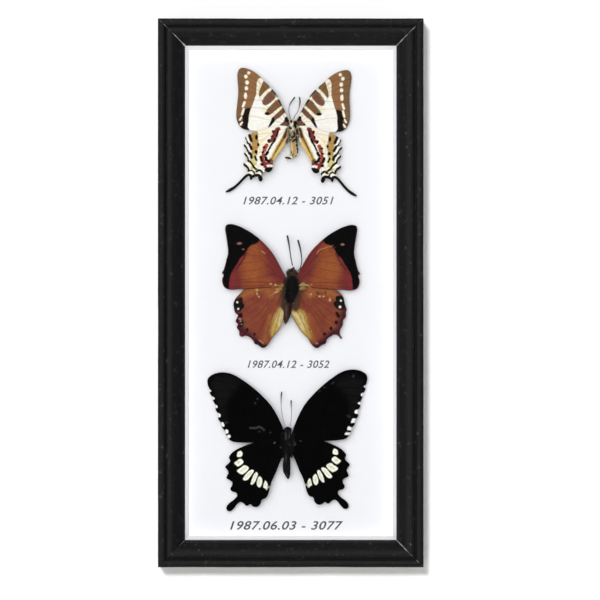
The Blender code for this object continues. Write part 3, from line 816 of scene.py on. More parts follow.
def wingMaterial(name, spec):
    # The ground colour with each marking over it in turn, then veins, streaks and scales.
    finish = spec["finish"]
    material, tree, shader = startMaterial(name, Specular_IOR_Level=finish["gloss"])
    fan = fieldOf(tree, "fan", "Vector")
    streaks = clouds(tree, stretched(tree, fan, (2.6, 0.35, 1.0)), 1.6, 4.0, 0.65)
    rays = clouds(tree, stretched(tree, fan, (3.4, 0.5, 1.0)), 2.2, 3.0, 0.6)
    drift = clouds(tree, place(tree), 170.0, 3.0)
    colour = blend(tree, spread(tree, drift, 0.35, 0.65), *(tone(*paint) for paint in spec["ground"]))
    for label, paint, softness, ragged, _ in spec["layers"]:
        gap = fieldOf(tree, label)
        if softness > wing["softFrom"]:
            gap = calc(tree, "MULTIPLY_ADD", calc(tree, "SUBTRACT", rays, 0.5), ragged * 3.0, gap)
        size = wing["crispScale"] if softness < wing["softFrom"] else wing["softScale"]
        mask = useGroup(tree, raggedMask, "Mask", Distance=gap, Softness=softness, Ragged=ragged, Scale=size)
        strength = paint[3] if len(paint) > 3 else 1.0
        colour = blend(tree, calc(tree, "MULTIPLY", mask, strength), colour, tone(*paint[:3]))
    ridge = spread(tree, fieldOf(tree, "veinGap"), 0.08, 0.34, finish["veinShade"], 0.0)
    colour = blend(tree, ridge, colour, tone(*finish["veinColour"]), "MULTIPLY")
    rim = spread(tree, fieldOf(tree, "rimGap"), 0.0, 0.55, finish["rimShade"], 0.0)
    colour = blend(tree, rim, colour, tone(*finish["rimColour"]))
    tint = useGroup(tree, wingScales, "Tint", Scale=wing["scaleSize"], Contrast=finish["scaleContrast"])
    streaky = spread(tree, streaks, 0.3, 0.7, 1.0 - finish["streaks"], 1.0 + finish["streaks"])
    colour = blend(tree, 1.0, colour, calc(tree, "MULTIPLY", tint, streaky), "MULTIPLY")
    rough = spread(tree, streaks, 0.3, 0.7, finish["rough"] - 0.08, finish["rough"] + 0.08)
    connect(tree, shader, Base_Color=colour, Roughness=rough)
    grain = useGroup(tree, wingScales, "Height", Scale=wing["scaleSize"], Contrast=0.2)
    bump(tree, shader, calc(tree, "ADD", grain, calc(tree, "MULTIPLY", streaks, 1.2)), 0.4, 0.00006)
    return material


# Markings: name, colour (and strength), softness of the edge, raggedness, shapes.
swordtailForewing = {
    "root": (-3.4, 2),
    "ground": ((254, 253, 247), (251, 249, 238)),
    "finish": {"gloss": 0.04, "rough": 0.78, "streaks": 0.06, "scaleContrast": 0.2,
               "veinColour": (176, 150, 112), "veinShade": 0.5, "rimColour": (70, 50, 38),
               "rimShade": 0.35},
    "outline": [
        (-1.6, 0.6), (-1.3, 2.6), (-2.2, 4.5), (-3.5, 7.8), (-5.5, 12), (-7.3, 16), (-9.9, 20), (-13.6, 24),
        (-17.5, 28), (-22.8, 32), (-27, 33.6), (-29.6, 33.5), (-31, 31.4), (-31.3, 28), (-30.8, 22),
        (-30.9, 18), (-31.5, 12), (-31.9, 6.5), (-31.4, 3.2), (-30, 0.3), (-27.8, -1.4), (-24.9, -2.1),
        (-21, -2.7), (-14, -2.5), (-4.6, -1.2),
    ],
    "veins": [
        [(-3.5, 4), (-6.6, 12.5), (-9.8, 18.5), (-15.8, 25.6)],
        [(-3.6, 3.2), (-9, 14), (-14.5, 20.5), (-17.6, 23.9)],
        [(-3.6, 2.2), (-8, 6), (-12.5, 9.6), (-17.4, 15), (-19, 18.6), (-19.2, 20.8), (-18.8, 22.6),
         (-17.6, 23.9)],
        [(-14.5, 20.5), (-19, 26.5), (-22, 30.5)],
        [(-17, 23.5), (-22, 28.2), (-25.8, 31.2), (-28.5, 33)],
        [(-17.6, 23.9), (-26, 29.7), (-30.8, 31.7)],
        [(-18.8, 22.6), (-26, 27), (-31.2, 29)],
        [(-19.2, 20.8), (-26, 23.7), (-30.9, 24.8)],
        [(-19, 18.6), (-26.4, 20), (-30.9, 20.2)],
        [(-17.4, 15), (-26.8, 15.3), (-31.2, 14.9)],
        [(-12.5, 9.6), (-20, 10.9), (-27.5, 11), (-31.7, 10)],
        [(-3.6, 1.8), (-14, 4), (-22, 5.8), (-28.5, 6), (-31.6, 4.8)],
    ],
    "layers": [
        ("warmth", (246, 232, 188, 0.7), 4, 0.6, [
            (5, [(-6, 8), (-12, 16.5), (-18.5, 22)]), (3.5, [(-8.5, 4.5), (-15, 10)])]),
        ("band", (148, 106, 70), 0.5, 0.35, [
            [(-16.8, 29.4), (-17.9, 27.8), (-19.3, 26.7), (-20.1, 25.4), (-20, 23), (-20.2, 20),
             (-20.6, 18), (-21.3, 16), (-22, 14), (-22.7, 12), (-23.6, 10), (-24.4, 7.5), (-24.9, 3),
             (-25.3, 0), (-26, -3), (-34, -4), (-35, 15), (-34, 37), (-22, 37)]]),
        ("bandOuter", (127, 96, 67), 2.2, 0.5, [
            [(-25, 37), (-26.6, 30), (-27, 24), (-27.4, 16), (-28.2, 10), (-29, 3), (-29.5, -4), (-35, -4),
             (-36, 15), (-35, 37)]]),
        ("bars", (126, 90, 62), 0.5, 0.35, [
            [(-16.6, 26.3), (-14.5, 24.7), (-12.6, 22.3), (-13.5, 21.6), (-15.3, 20.2), (-17.2, 18.2),
             (-18.1, 17.2), (-18.9, 17.6), (-18.9, 19.5), (-18.2, 21.8), (-17.2, 24)],
            [(-11.3, 20.7), (-9.2, 17.4), (-10.5, 15.3), (-12.8, 13.2), (-15.2, 12.2), (-16.6, 12.8),
             (-16.9, 14.2), (-15.5, 16.6), (-13.6, 18.8), (-11.8, 20.2)],
            [(-8.1, 15.4), (-6.9, 14.4), (-5.4, 12.2), (-6.5, 11.4), (-9.5, 9), (-11.8, 7.2), (-13.2, 6.6),
             (-14.9, 7.6), (-14, 9.3), (-12.5, 11), (-10.5, 13.2), (-9, 14.6)]]),
        ("barsPurple", (118, 82, 68), 0.5, 0.35, [
            [(-5.3, 10.3), (-4.3, 9.8), (-3.7, 8.2), (-4.6, 7.5), (-6.5, 5.6), (-8.6, 4.2), (-9.8, 3.3),
             (-11, 4.2), (-11, 5.4), (-9.6, 6.6), (-7.8, 8.3), (-6.3, 9.6)],
            [(-11.2, 18.6), (-10.2, 17.2), (-11.4, 15.4), (-13, 14), (-15, 13.2), (-15.8, 14),
             (-14.8, 15.8), (-13.2, 17.6)],
            [(-2.4, 5.4), (-3.8, 4.6), (-5, 2.6), (-6.9, 0.9), (-5.5, -0.6), (-1, -0.8), (-0.6, 3)]]),
        ("olive", (122, 98, 52, 0.6), 1.6, 0.5, [(2, [(-14.2, 23.6), (-17.4, 20)])]),
        ("black", (24, 20, 18), 0.45, 0.4, [
            [(-23.9, 10.6), (-24.3, 8), (-25, 6), (-24.8, 4), (-25.2, 2), (-25.4, 0), (-24.2, -2.8),
             (-28, -3), (-30.6, -1), (-29.3, 0), (-28.3, 1), (-28.1, 4), (-28.2, 6), (-27.3, 8), (-27, 10)],
            (0.8, [(-28.4, 5.8), (-28.9, 4.6)]), (0.7, [(-28.3, 3.2), (-30.2, 2.6)]),
            (0.55, [(-31.9, 6.5), (-31.4, 3.2), (-30, 0.3), (-27.8, -1.4)]),
            (0.9, [(-11.2, 20.9), (-8.2, 17.2)]), (0.9, [(-7.6, 15.2), (-5.2, 11.8)]),
            (0.9, [(-5, 10.6), (-3.5, 8)]), (1.9, [(-3.2, 4.6), (-2.8, 3.4)]),
            (1.4, [(-6.2, 0.6), (-4.9, -0.5)]),
            [(-12.9, 7.9), (-13.3, 6.5), (-15.2, 6.8), (-15.7, 7.7), (-14.6, 8.3)],
            [(-10.3, 5), (-9.7, 3.4), (-11, 1.6), (-12.4, 0), (-13.8, -0.8), (-13, 1.2), (-11.9, 3.4),
             (-11.3, 5.4)],
            (0.5, [(-16.9, 14.6), (-15.6, 16.8), (-13.6, 19), (-11.6, 20.5)]),
            (0.45, [(-14.8, 8.6), (-12.5, 11.3), (-9, 14.9)])]),
        ("spots", (250, 244, 222), 0.5, 0.25, [
            (-24.8, 30.8, 0.95, 0.9), (-26.4, 28.7, 1, 1.15), (-25.7, 25.3, 1.05, 1.3), (-26.1, 22, 1, 1.2),
            (-26.6, 17.7, 0.9, 1.85), (1.4, [(-27.2, 13.9), (-28.1, 11.5)]),
            (1.2, [(-27.7, 10), (-28.7, 6.9)]), (1, [(-29, 5.3), (-29.9, 3.8)]),
            (1, [(-28.6, 2.4), (-29.6, 1)]), (-18, 26.3, 1.6, 1.5),
            (1.5, [(-18.6, 26), (-19.4, 23), (-19.6, 18)])]),
    ],
}
swordtailHindwing = {
    "root": (-3.2, -1.5),
    "ground": ((253, 249, 236), (251, 243, 224)),
    "finish": {"gloss": 0.04, "rough": 0.78, "streaks": 0.06, "scaleContrast": 0.2,
               "veinColour": (190, 164, 120), "veinShade": 0.5, "rimColour": (60, 48, 38), "rimShade": 0.2},
    "outline": [
        (-1.5, -0.5), (-4.6, 0.4), (-9, 0.5), (-14, -0.9), (-20.5, -2.7), (-24.7, -4.5), (-26.8, -6.2),
        (-26, -9), (-27.7, -10.6), (-26, -13.6), (-27.5, -15.4), (-25.5, -18.8), (-27.9, -21.6),
        (-25.5, -24.6), (-25.9, -26.7), (-28, -29), (-33, -33.9), (-37.4, -36.7), (-38.2, -37.6),
        (-36.6, -37.7), (-33.2, -36), (-30.2, -33.4), (-26.5, -29.7), (-24.8, -28.6), (-23.5, -30.7),
        (-22.3, -29.5), (-20.6, -29), (-19.3, -30.2), (-18, -31.6), (-16.7, -30.2), (-17.1, -28.4),
        (-15.5, -25.9), (-13.6, -26.4), (-11.2, -24.6), (-10.7, -20.5), (-7.5, -15.5), (-3.7, -10),
        (-2.2, -7), (-1.4, -3.4),
    ],
    "veins": [
        [(-3.5, -1.2), (-10, -3.5), (-16.5, -7.5), (-18.5, -11.5), (-18, -14.5), (-16.8, -15.6),
         (-15.5, -16), (-13, -13), (-8, -6), (-3.5, -1.6)],
        [(-10, -3.5), (-18, -4.2), (-26.6, -6.3)],
        [(-16.5, -7.5), (-21.5, -8.6), (-27.6, -10.7)],
        [(-18.5, -11.5), (-23, -13), (-27.4, -15.4)],
        [(-18, -14.5), (-22.5, -18), (-27.8, -21.6)],
        [(-16.8, -15.6), (-20.5, -21), (-25.4, -27.2), (-30.5, -32), (-37.5, -37.2)],
        [(-15.5, -16), (-18.6, -22.5), (-23.3, -29.8)],
        [(-13, -13), (-15.8, -20), (-17.8, -30.8)],
        [(-3.4, -3), (-7.5, -11), (-12.2, -20.5), (-13.6, -25.8)],
    ],
    "layers": [
        ("warmth", (252, 240, 204, 0.75), 3, 0.6, [
            (3.2, [(-17.2, -4.4), (-16.6, -8.6), (-17.4, -13)]), (1.2, [(-7, -1.2), (-18, -3.4)])]),
        ("pale", (252, 250, 240, 0.8), 1.2, 0.5, [
            (1.6, [(-11.2, -9), (-12.6, -14), (-13.2, -18)]), (1.3, [(-6, -3), (-9, -9)])]),
        ("tan", (184, 146, 84), 0.7, 0.5, [
            [(-23.6, -4), (-21.4, -3.2), (-19.6, -3), (-19.3, -7), (-19, -10.5), (-19.6, -13.4),
             (-20, -16.4), (-21.4, -18.6), (-23, -17.6), (-23, -13), (-23.2, -8.5)]]),
        ("greenish", (212, 202, 124, 0.9), 1.6, 0.6, [
            [(-20.6, -15.5), (-20.4, -20), (-20, -23), (-23, -25), (-24.4, -21.5), (-23.4, -17)],
            (1.6, [(-22, -25.8), (-19.6, -26.4)])]),
        ("white", (252, 251, 246), 0.5, 0.3, [
            (1.2, [(-25.7, -6), (-24.5, -9)]), (1.2, [(-26.4, -10.6), (-24.3, -14)]),
            (1.2, [(-26.4, -15.6), (-24.3, -18.4)]), (1.4, [(-26.4, -20.8), (-23.8, -22.2)]),
            (-17, -24.1, 1.15, 1.25), (1.1, [(-14, -22.8), (-12.3, -22.4), (-10.8, -23)]),
            (1.2, [(-24.6, -26.8), (-23.6, -26.3), (-22.5, -27.2), (-22.6, -28.4)]),
            (1.1, [(-20.4, -27.2), (-18.2, -26.9), (-16.8, -28.2)]),
            (0.8, [(-21, -22.6), (-19.4, -23.4)])]),
        ("ochre", (180, 138, 58), 1.4, 0.6, [
            (2.5, [(-3.6, -5), (-5.6, -8.4), (-8, -12.6), (-10, -16.4), (-11.6, -19.2)])]),
        ("strawEdge", (222, 198, 118), 0.8, 0.5, [
            (1.7, [(-4.2, -9.6), (-6.4, -12.6), (-8.9, -16.6), (-10.5, -19.8)])]),
        ("umber", (84, 54, 26), 1, 0.6, [
            (1.9, [(-2.6, -1.6), (-3.4, -3.6), (-4.2, -6)]),
            (0.45, [(-4.6, -6.4), (-7.4, -11), (-9.4, -14.6)]), (1, [(-12.4, -18.8), (-11.2, -19.8)])]),
        ("red", (126, 52, 51), 0.5, 0.4, [
            [(-9, -0.6), (-7, -0.4), (-6.6, -1.8), (-7.8, -3.2), (-8.4, -5.4), (-9.4, -7), (-10.4, -8.4),
             (-12.8, -9.6), (-13.9, -8.8), (-13.7, -7.4), (-12, -6.9), (-12, -5.4), (-11, -4.4),
             (-11.3, -3.4), (-11, -2.2), (-9.9, -2)]]),
        ("orangeRed", (170, 78, 64), 0.5, 0.4, [
            (2.3, [(-14.5, -10.8), (-15.3, -12.2), (-15.7, -13.5)]),
            (0.6, [(-15.7, -13.8), (-15.8, -16.2)]),
            (2.1, [(-16.3, -16.4), (-16.9, -18.4), (-16.2, -20.4)])]),
        ("brickRed", (140, 54, 52), 0.5, 0.4, [
            (1.9, [(-16.5, -20.4), (-15.8, -22), (-15, -23.4)]),
            (1.8, [(-15.2, -21.5), (-13, -20.9), (-10.9, -21.2)]), (1, [(-15.4, -17), (-15, -19.6)])]),
        ("black", (20, 16, 15), 0.42, 0.45, [
            (-20.3, -6.2, 0.8, 1.5), (-19.3, -10.4, 0.7, 1.1), (-20.5, -14.6, 1, 1.1),
            (1.15, [(-21.1, -17.2), (-20.3, -19.4)]), (1.7, [(-24.4, -4.9), (-23.3, -8.2)]),
            (1.1, [(-26.8, -6.3), (-25.9, -8.5), (-25.2, -9.5), (-24.2, -10.3)]),
            (1.5, [(-24.2, -10.4), (-23.1, -12.9)]),
            (1.15, [(-27.5, -10.7), (-26.6, -11.5), (-25.6, -13.5), (-24.6, -15)]),
            (1.6, [(-24.4, -15.2), (-23.4, -16.4), (-23.2, -17.8)]),
            (1.2, [(-27.3, -15.5), (-26.3, -16.5), (-25.4, -18), (-25, -19.7), (-24, -20.2),
                   (-22.8, -21.6), (-21.7, -23.5), (-20.4, -24.5)]),
            (1.5, [(-27.8, -21.7), (-26.2, -22.8), (-25.2, -24), (-24.9, -25.4)]),
            (0.9, [(-24.6, -25.5), (-23.2, -25.2), (-22, -26), (-21.3, -27.8)]),
            (1.2, [(-20.2, -25.8), (-19, -25.1), (-18, -25.3), (-17, -26.5), (-16.4, -27.8)]),
            (3, [(-26.2, -28.9), (-30.5, -32.4), (-38, -37.6)]),
            (1.7, [(-26.4, -28.8), (-25.2, -27.9), (-24, -27.9), (-23.4, -28.8), (-23.3, -30.4)]),
            (1.8, [(-22.4, -28.8), (-21, -28.1), (-19, -28.1), (-18.2, -29.5)]),
            (2.5, [(-18.3, -29), (-17.8, -31)]),
            [(-15.7, -25.2), (-15, -23.9), (-12.6, -23.2), (-10.6, -23.6), (-11, -25.2), (-12.6, -26.4),
             (-14.4, -27)],
            (-10.7, -2.7, 0.75, 0.7), (-11.5, -6, 0.6, 0.75), (-13.3, -8.3, 0.7, 0.95),
            (1.1, [(-7.9, -2.4), (-8.2, -4), (-8.7, -5.8)]), (1.3, [(-9.4, -7), (-10.4, -8.8)]),
            (1.1, [(-10.6, -9), (-12, -11), (-13.3, -13.4)]), (1.7, [(-13.8, -14.6), (-14.7, -16)]),
            (-16, -11.9, 0.85, 0.65), (-16.6, -14.8, 0.8, 0.8), (1.5, [(-17.9, -17.5), (-17.3, -19.6)]),
            (1.6, [(-15, -17.8), (-14.2, -19.5), (-12.8, -20)]), (-17.1, -21.8, 1, 0.9)]),
    ],
}
rajahForewing = {
    "root": (-4.4, 3),
    "ground": ((148, 80, 47), (138, 70, 44)),
    "finish": {"gloss": 0.03, "rough": 0.72, "streaks": 0.15, "scaleContrast": 0.32,
               "veinColour": (150, 110, 100), "veinShade": 0.42, "rimColour": (52, 26, 24),
               "rimShade": 0.75},
    "outline": [
        (-2.6, 1.2), (-2.4, 3.4), (-3.4, 5.8), (-5.2, 9), (-8.2, 14.7), (-11.5, 20), (-15.5, 24.5),
        (-20, 28.6), (-26, 32.6), (-32, 35.3), (-35.5, 35.9), (-37.6, 35.2), (-38.2, 33.6), (-37.8, 30),
        (-36.9, 24), (-36.6, 19), (-37.6, 15), (-38.3, 12), (-39.3, 9.2), (-40.1, 8), (-39.2, 6.8),
        (-39.9, 4.4), (-39.6, 1.4), (-38.2, -0.7), (-35.6, -1.7), (-30, -1.5), (-20, -1), (-10, -0.3),
        (-4.6, 0.2),
    ],
    "veins": [
        [(-4.7, 5), (-10.5, 16.5), (-17.5, 25.2), (-26, 31.5)],
        [(-4.7, 4), (-10, 12), (-15.8, 18.8), (-18.5, 20.8)],
        [(-15.8, 18.8), (-21.5, 25.6), (-30, 32.5)],
        [(-18.5, 20.8), (-25, 26.5), (-34, 34.8)],
        [(-18.5, 20.8), (-27.5, 26), (-37.4, 31.8)],
        [(-18.8, 19.6), (-28, 22.3), (-36.9, 24.5)],
        [(-18, 17.6), (-28, 18.2), (-36.9, 17.6)],
        [(-16.4, 15), (-28, 13.3), (-38.2, 12)],
        [(-13.5, 11.6), (-26, 8.8), (-39.6, 8.2)],
        [(-9, 7.2), (-24, 4.3), (-39.7, 3.4)],
        [(-4.8, 2.6), (-16, 0.9), (-28, 0.2), (-38, -0.4)],
        [(-4.7, 3.2), (-9, 7.2), (-13.5, 11.6), (-16.4, 15), (-18, 17.6), (-18.8, 19.6), (-18.5, 20.8)],
    ],
    "layers": [
        ("ruddy", (114, 46, 47, 0.95), 6, 1.2, [
            [(-2, 0), (-3, 9), (-12, 23), (-19, 30), (-24, 28), (-17, 20.5), (-14.5, 12), (-12.5, 5)],
            [(-28.5, 4), (-30, 12), (-27, 18.5), (-34, 16), (-38, 6), (-38, -3), (-28, -3)],
            (1.2, [(-6, -0.8), (-20, -1.6), (-36, -2.2)])]),
        ("wine", (134, 46, 52, 0.75), 4, 1, [
            (2.5, [(-33.6, 6.5), (-35, 0.5)]), (1.6, [(-31.2, 12), (-28.4, 16.6)])]),
        ("amber", (158, 90, 50, 0.6), 6, 1.4, [(-23, 9.5, 4.2, 7), (-20.5, 22.5, 2, 2.4)]),
        ("seam", (84, 36, 32, 0.55), 0.8, 0.5, [
            (0.6, [(-8, 1.8), (-18, 2.6), (-30, 2.4)]), (0.5, [(-7, 3), (-12, 3)]),
            (0.5, [(-6.5, 10.4), (-9, 13.4), (-11.8, 19.6)])]),
        ("black", (4, 3, 4), 0.75, 0.7, [
            [(-19.4, 29.8), (-18.7, 26.6), (-20, 24.9), (-21.5, 24.3), (-23, 23.8), (-24.5, 22.5),
             (-26, 20.2), (-27.2, 18.2), (-28.4, 17.2), (-29.4, 16.4), (-31, 13.6), (-33, 10.5), (-34.5, 8),
             (-35.5, 5), (-35.8, 2.5), (-36, 0), (-36.8, -3), (-43, -3), (-43, 20), (-41, 38), (-28, 37)]]),
        ("line", (44, 25, 24, 0.85), 0.7, 0.6, [
            (0.75, [(-25.8, 19.6), (-27.4, 16.6), (-29.2, 13.6), (-30.8, 11.4), (-32, 9.8)])]),
        ("redEdge", (96, 38, 36, 0.75), 0.9, 0.8, [
            (0.8, [(-37.9, 14), (-39.2, 9.6), (-39.8, 4.6), (-39.4, 1.4), (-37.6, -1.2), (-34, -1.9)]),
            (0.5, [(-36.8, 18), (-37.3, 26), (-38, 32)])]),
        ("fleck", (190, 138, 128, 0.6), 0.7, 0.4, [
            (-30, 24.8, 1.3, 0.7), (-27.8, 21.4, 0.6, 0.4)]),
        ("pale", (226, 170, 118, 0.85), 0.5, 0.3, [
            (0.5, [(-17.6, 20.6), (-16.4, 19.8), (-15.4, 18.9)]), (-12, 1.5, 0.7, 0.5),
            (-9.3, 1, 0.6, 0.5)]),
        ("patch", (92, 50, 34, 0.8), 0.6, 0.5, [(0.9, [(-14.2, 18.6), (-12.8, 17.6)])]),
        ("straw", (196, 160, 88, 0.75), 0.6, 0.6, [(0.5, [(-5.6, 0.6), (-8.4, 0.4), (-11, -0.3)])]),
    ],
    "rightLayers": {
        "pale": [(0.3, [(14.5, 19), (16, 21), (20.5, 22.5), (24, 23.7)]), (11.4, 1.2, 0.5, 0.4)],
        "patch": [(14, 17.5, 0.9, 0.5), (0.6, [(21.6, 21.4), (25, 22.4)])],
        "fleck": [(29.2, 24.2, 1, 0.6)],
        "straw": [(0.5, [(5, 1), (8, 0.6), (11, -0.6)])],
    },
}
rajahHindwing = {
    "root": (-5, -2),
    "ground": ((138, 72, 50), (126, 62, 47)),
    "finish": {"gloss": 0.03, "rough": 0.74, "streaks": 0.19, "scaleContrast": 0.32,
               "veinColour": (158, 122, 108), "veinShade": 0.32, "rimColour": (38, 22, 24),
               "rimShade": 0.85},
    "outline": [
        (-2.4, -1), (-4.6, 0.2), (-12, 1.2), (-22, 0.4), (-27, -1.5), (-30, -4.4), (-32.6, -7.4),
        (-33.4, -9.8), (-33.1, -12.6), (-32.3, -15.2), (-30.8, -16.4), (-31.4, -18), (-32.2, -19.8),
        (-30.9, -21.8), (-31.5, -23.2), (-30.2, -25.6), (-29.8, -28.3), (-28.5, -28.8), (-26.4, -28.2),
        (-23.5, -29.6), (-21.9, -31.3), (-21.2, -32.8), (-19.4, -33.5), (-16.5, -35.2), (-13.9, -33.6),
        (-11.2, -29.4), (-8, -25.6), (-6.2, -22.8), (-5.2, -20.4), (-3.8, -15), (-2.8, -11), (-2.6, -7),
        (-2.2, -3.4),
    ],
    "rightOutline": [
        (2, -1.6), (4.4, 0.2), (12, 0.8), (21, -0.4), (26.4, -2.6), (28.8, -4.7), (30.1, -7.2),
        (30.6, -10.4), (31.6, -13), (31.1, -15.2), (31.2, -17.2), (29.7, -19.2), (29.3, -22), (28.1, -24.3),
        (27.6, -26.4), (28.2, -28.2), (29, -29.7), (28.4, -30), (27.1, -28.6), (25, -27.5), (22.7, -28.5),
        (20.3, -30.4), (19.5, -32.6), (17.4, -33.5), (14.2, -35.3), (11.6, -33.3), (9, -29.4), (6.5, -27),
        (4, -23.7), (1.9, -20), (0.2, -16.8), (-0.6, -14.9), (-0.4, -12.9), (0, -10), (1.4, -6.5),
    ],
    "veins": [
        [(-5, -0.8), (-14, -0.9), (-25, -2.5), (-31.5, -6.6)],
        [(-5.2, -1.6), (-9, -2.2), (-12.5, -4), (-13.6, -6.8), (-13.4, -9.2), (-12.6, -11.4), (-10, -10.5),
         (-6.8, -6.4), (-5.2, -2)],
        [(-9, -2.2), (-19, -5.6), (-33.2, -11.2)],
        [(-12.5, -4), (-22, -9.8), (-31, -16.3)],
        [(-13.6, -6.8), (-22.5, -13.8), (-32, -20)],
        [(-13.4, -9.2), (-21.5, -18), (-30.9, -23.6)],
        [(-12.6, -11.4), (-20, -21), (-29, -28.6)],
        [(-10, -10.5), (-16.6, -21), (-21.6, -32.4)],
        [(-5.4, -3), (-10, -14), (-13.6, -24.5), (-16.3, -34.6)],
        [(-5.1, -3.5), (-6.5, -14), (-9, -24), (-10.8, -28.6)],
    ],
    "layers": [
        ("amber", (160, 100, 58, 0.85), 4, 1, [
            (3.5, [(-9, 0.5), (-20, -1.5), (-27.5, -4.5)]), (-12, -4, 3, 2.5)]),
        ("crease", (98, 62, 44, 0.7), 2, 0.8, [
            (2.2, [(-5.6, -3), (-6.6, -9), (-5.4, -13)]), (0.8, [(-8, -3), (-11, -8)])]),
        ("plum", (68, 27, 38, 0.97), 4.2, 0.9, [
            (4.4, [(-33, -12), (-31, -18), (-29.6, -24), (-25.4, -28.2), (-19.6, -32.4),
                   (-16, -35)])]),
        ("orange", (160, 98, 52, 0.7), 3, 1, [
            (1.9, [(-12.4, -17), (-13.6, -22), (-14.6, -27), (-15.4, -31.4)])]),
        ("straw", (192, 160, 84), 3, 1.1, [
            [(-6.8, -12.4), (-3, -13), (-4, -21), (-6, -24.5), (-8.8, -27.2), (-11.4, -28.8),
             (-11.9, -25.6), (-11.4, -21.6), (-10.2, -17.6), (-8.4, -14.6)]]),
        ("cream", (212, 198, 146, 0.85), 1.6, 0.9, [
            (2.3, [(-5.6, -14), (-6.2, -18), (-6.8, -21.6)]), (0.8, [(-8, -16), (-9.4, -20.4)])]),
        ("hairs", (128, 98, 56, 0.8), 0.6, 0.6, [
            (0.35, [(-6.6, -14), (-8.6, -21), (-10.6, -27.4)]), (0.35, [(-8, -15.4), (-10.8, -22)]),
            (0.35, [(-10.6, -18.4), (-12, -23.6), (-13.4, -30)]), (0.3, [(-5.6, -16), (-6.6, -21.8)])]),
        ("black", (21, 17, 18), 0.55, 0.45, [
            [(-31.5, -7), (-29, -6), (-28.1, -7.3), (-28.2, -9.2), (-27.2, -10.4), (-27.4, -12),
             (-28.6, -13.2), (-30, -14.5), (-31.7, -13.8), (-32.6, -12.2), (-33.6, -9.9), (-33, -8.4)],
            (-29.3, -16.6, 1.2, 1.3), (-28.4, -20.6, 1.2, 1.1), (-29.1, -22.6, 1, 0.7),
            (-25.5, -24.7, 0.85, 1.1), (-21.4, -27.3, 0.85, 0.85), (-30.2, -25.4, 0.6, 0.7),
            (1.2, [(-21.4, -32.6), (-19.4, -33.4), (-16.6, -34.9), (-14, -33.6)]),
            (0.7, [(-20.4, -31), (-19, -32), (-17.4, -33.2)])]),
        ("moss", (86, 74, 50, 0.8), 0.8, 0.5, [(-26.9, -20.4, 0.9, 0.8)]),
        ("pinkish", (196, 140, 132, 0.8), 0.6, 0.4, [
            (-29.7, -18.6, 0.8, 0.55), (-29.3, -19.9, 0.5, 0.4), (-28.8, -21.6, 0.4, 0.4),
            (0.6, [(-18.6, -30.7), (-17.4, -31.6), (-16.2, -32.6)])]),
        ("white", (242, 234, 222), 0.4, 0.2, [(-31.3, -9, 0.62, 0.62), (-30.7, -12.8, 0.62, 0.62)]),
        ("pale", (214, 172, 116, 0.85), 0.6, 0.4, [
            (-20, -1.8, 0.8, 0.6), (-19.8, -4, 0.4, 0.9), (-18.7, -5.8, 0.6, 0.5),
            (1.2, [(-6, -1.4), (-8.6, -1.6)]), (0.9, [(-7.6, -2.6), (-9.4, -3.4)])]),
        ("dark", (70, 38, 28, 0.7), 0.6, 0.4, [(-18.8, -3.5, 0.6, 0.7), (-17.5, -6, 0.5, 0.6)]),
    ],
    "rightLayers": {
        "amber": [(3, [(9, 0.2), (18, -2), (25, -5)]), (11, -4, 3, 2.5)],
        "crease": [(2.2, [(4.4, -3.4), (4.2, -9), (2.4, -12.6)]), (0.8, [(7, -3.4), (9.6, -8)])],
        "plum": [(4.4, [(31.2, -13), (29.4, -19), (28, -25), (23.4, -27.4), (18.4, -31.6),
                        (14.4, -34.4)])],
        "orange": [(1.8, [(9.6, -16.4), (10.8, -21), (11.6, -26), (13, -31)])],
        "straw": [[(-0.6, -14.4), (2.6, -13), (6.6, -14.4), (8.6, -18), (9.8, -24), (11.4, -29.6),
                   (9, -29.2), (6, -26.4), (2.6, -21.6), (0, -17)]],
        "cream": [(2.4, [(1.8, -15.6), (4.2, -19.6), (6.6, -24)]), (0.8, [(5.6, -15.6), (7, -20.4)])],
        "hairs": [(0.35, [(3.4, -14.6), (6.4, -20.6), (9.6, -27.6)]), (0.35, [(6, -14.4), (8.6, -20)]),
                  (0.35, [(8.6, -16), (10, -22), (11.4, -29)]), (0.3, [(2, -17), (4.6, -22)])],
        "black": [
            [(25.3, -5.8), (28, -5.2), (30.2, -7), (30.4, -9.6), (30.6, -12.2), (28.6, -13.5),
             (26.3, -12.9), (24.3, -11), (24, -9.2), (25.4, -8.2)],
            (1.9, [(26, -15.4), (26.9, -17)]), (25.6, -20.6, 1, 1.2), (22.6, -24, 0.9, 1.1),
            (18.9, -27.2, 0.95, 0.85), (0.9, [(19.8, -32.4), (17.4, -33.6), (14.4, -35), (12, -33.6)]),
            (0.6, [(18.6, -31.6), (16.4, -32.6)])],
        "moss": [(27.6, -18.4, 0.7, 0.5)],
        "pinkish": [(14.4, -32.6, 0.8, 0.5)],
        "white": [(28.3, -8.1, 0.62, 0.62), (27.8, -11.7, 0.78, 0.78)],
        "pale": [(11.2, -4.4, 0.6, 0.5), (16, -5.6, 0.8, 0.6), (18.3, -5.6, 0.6, 0.5),
                 (22, -7.6, 0.7, 1), (1, [(5, 0), (8, 0.4), (11, -0.4)])],
        "dark": [(15, -3.6, 0.8, 0.7), (19.6, -3.4, 0.6, 0.6)],
    },
}
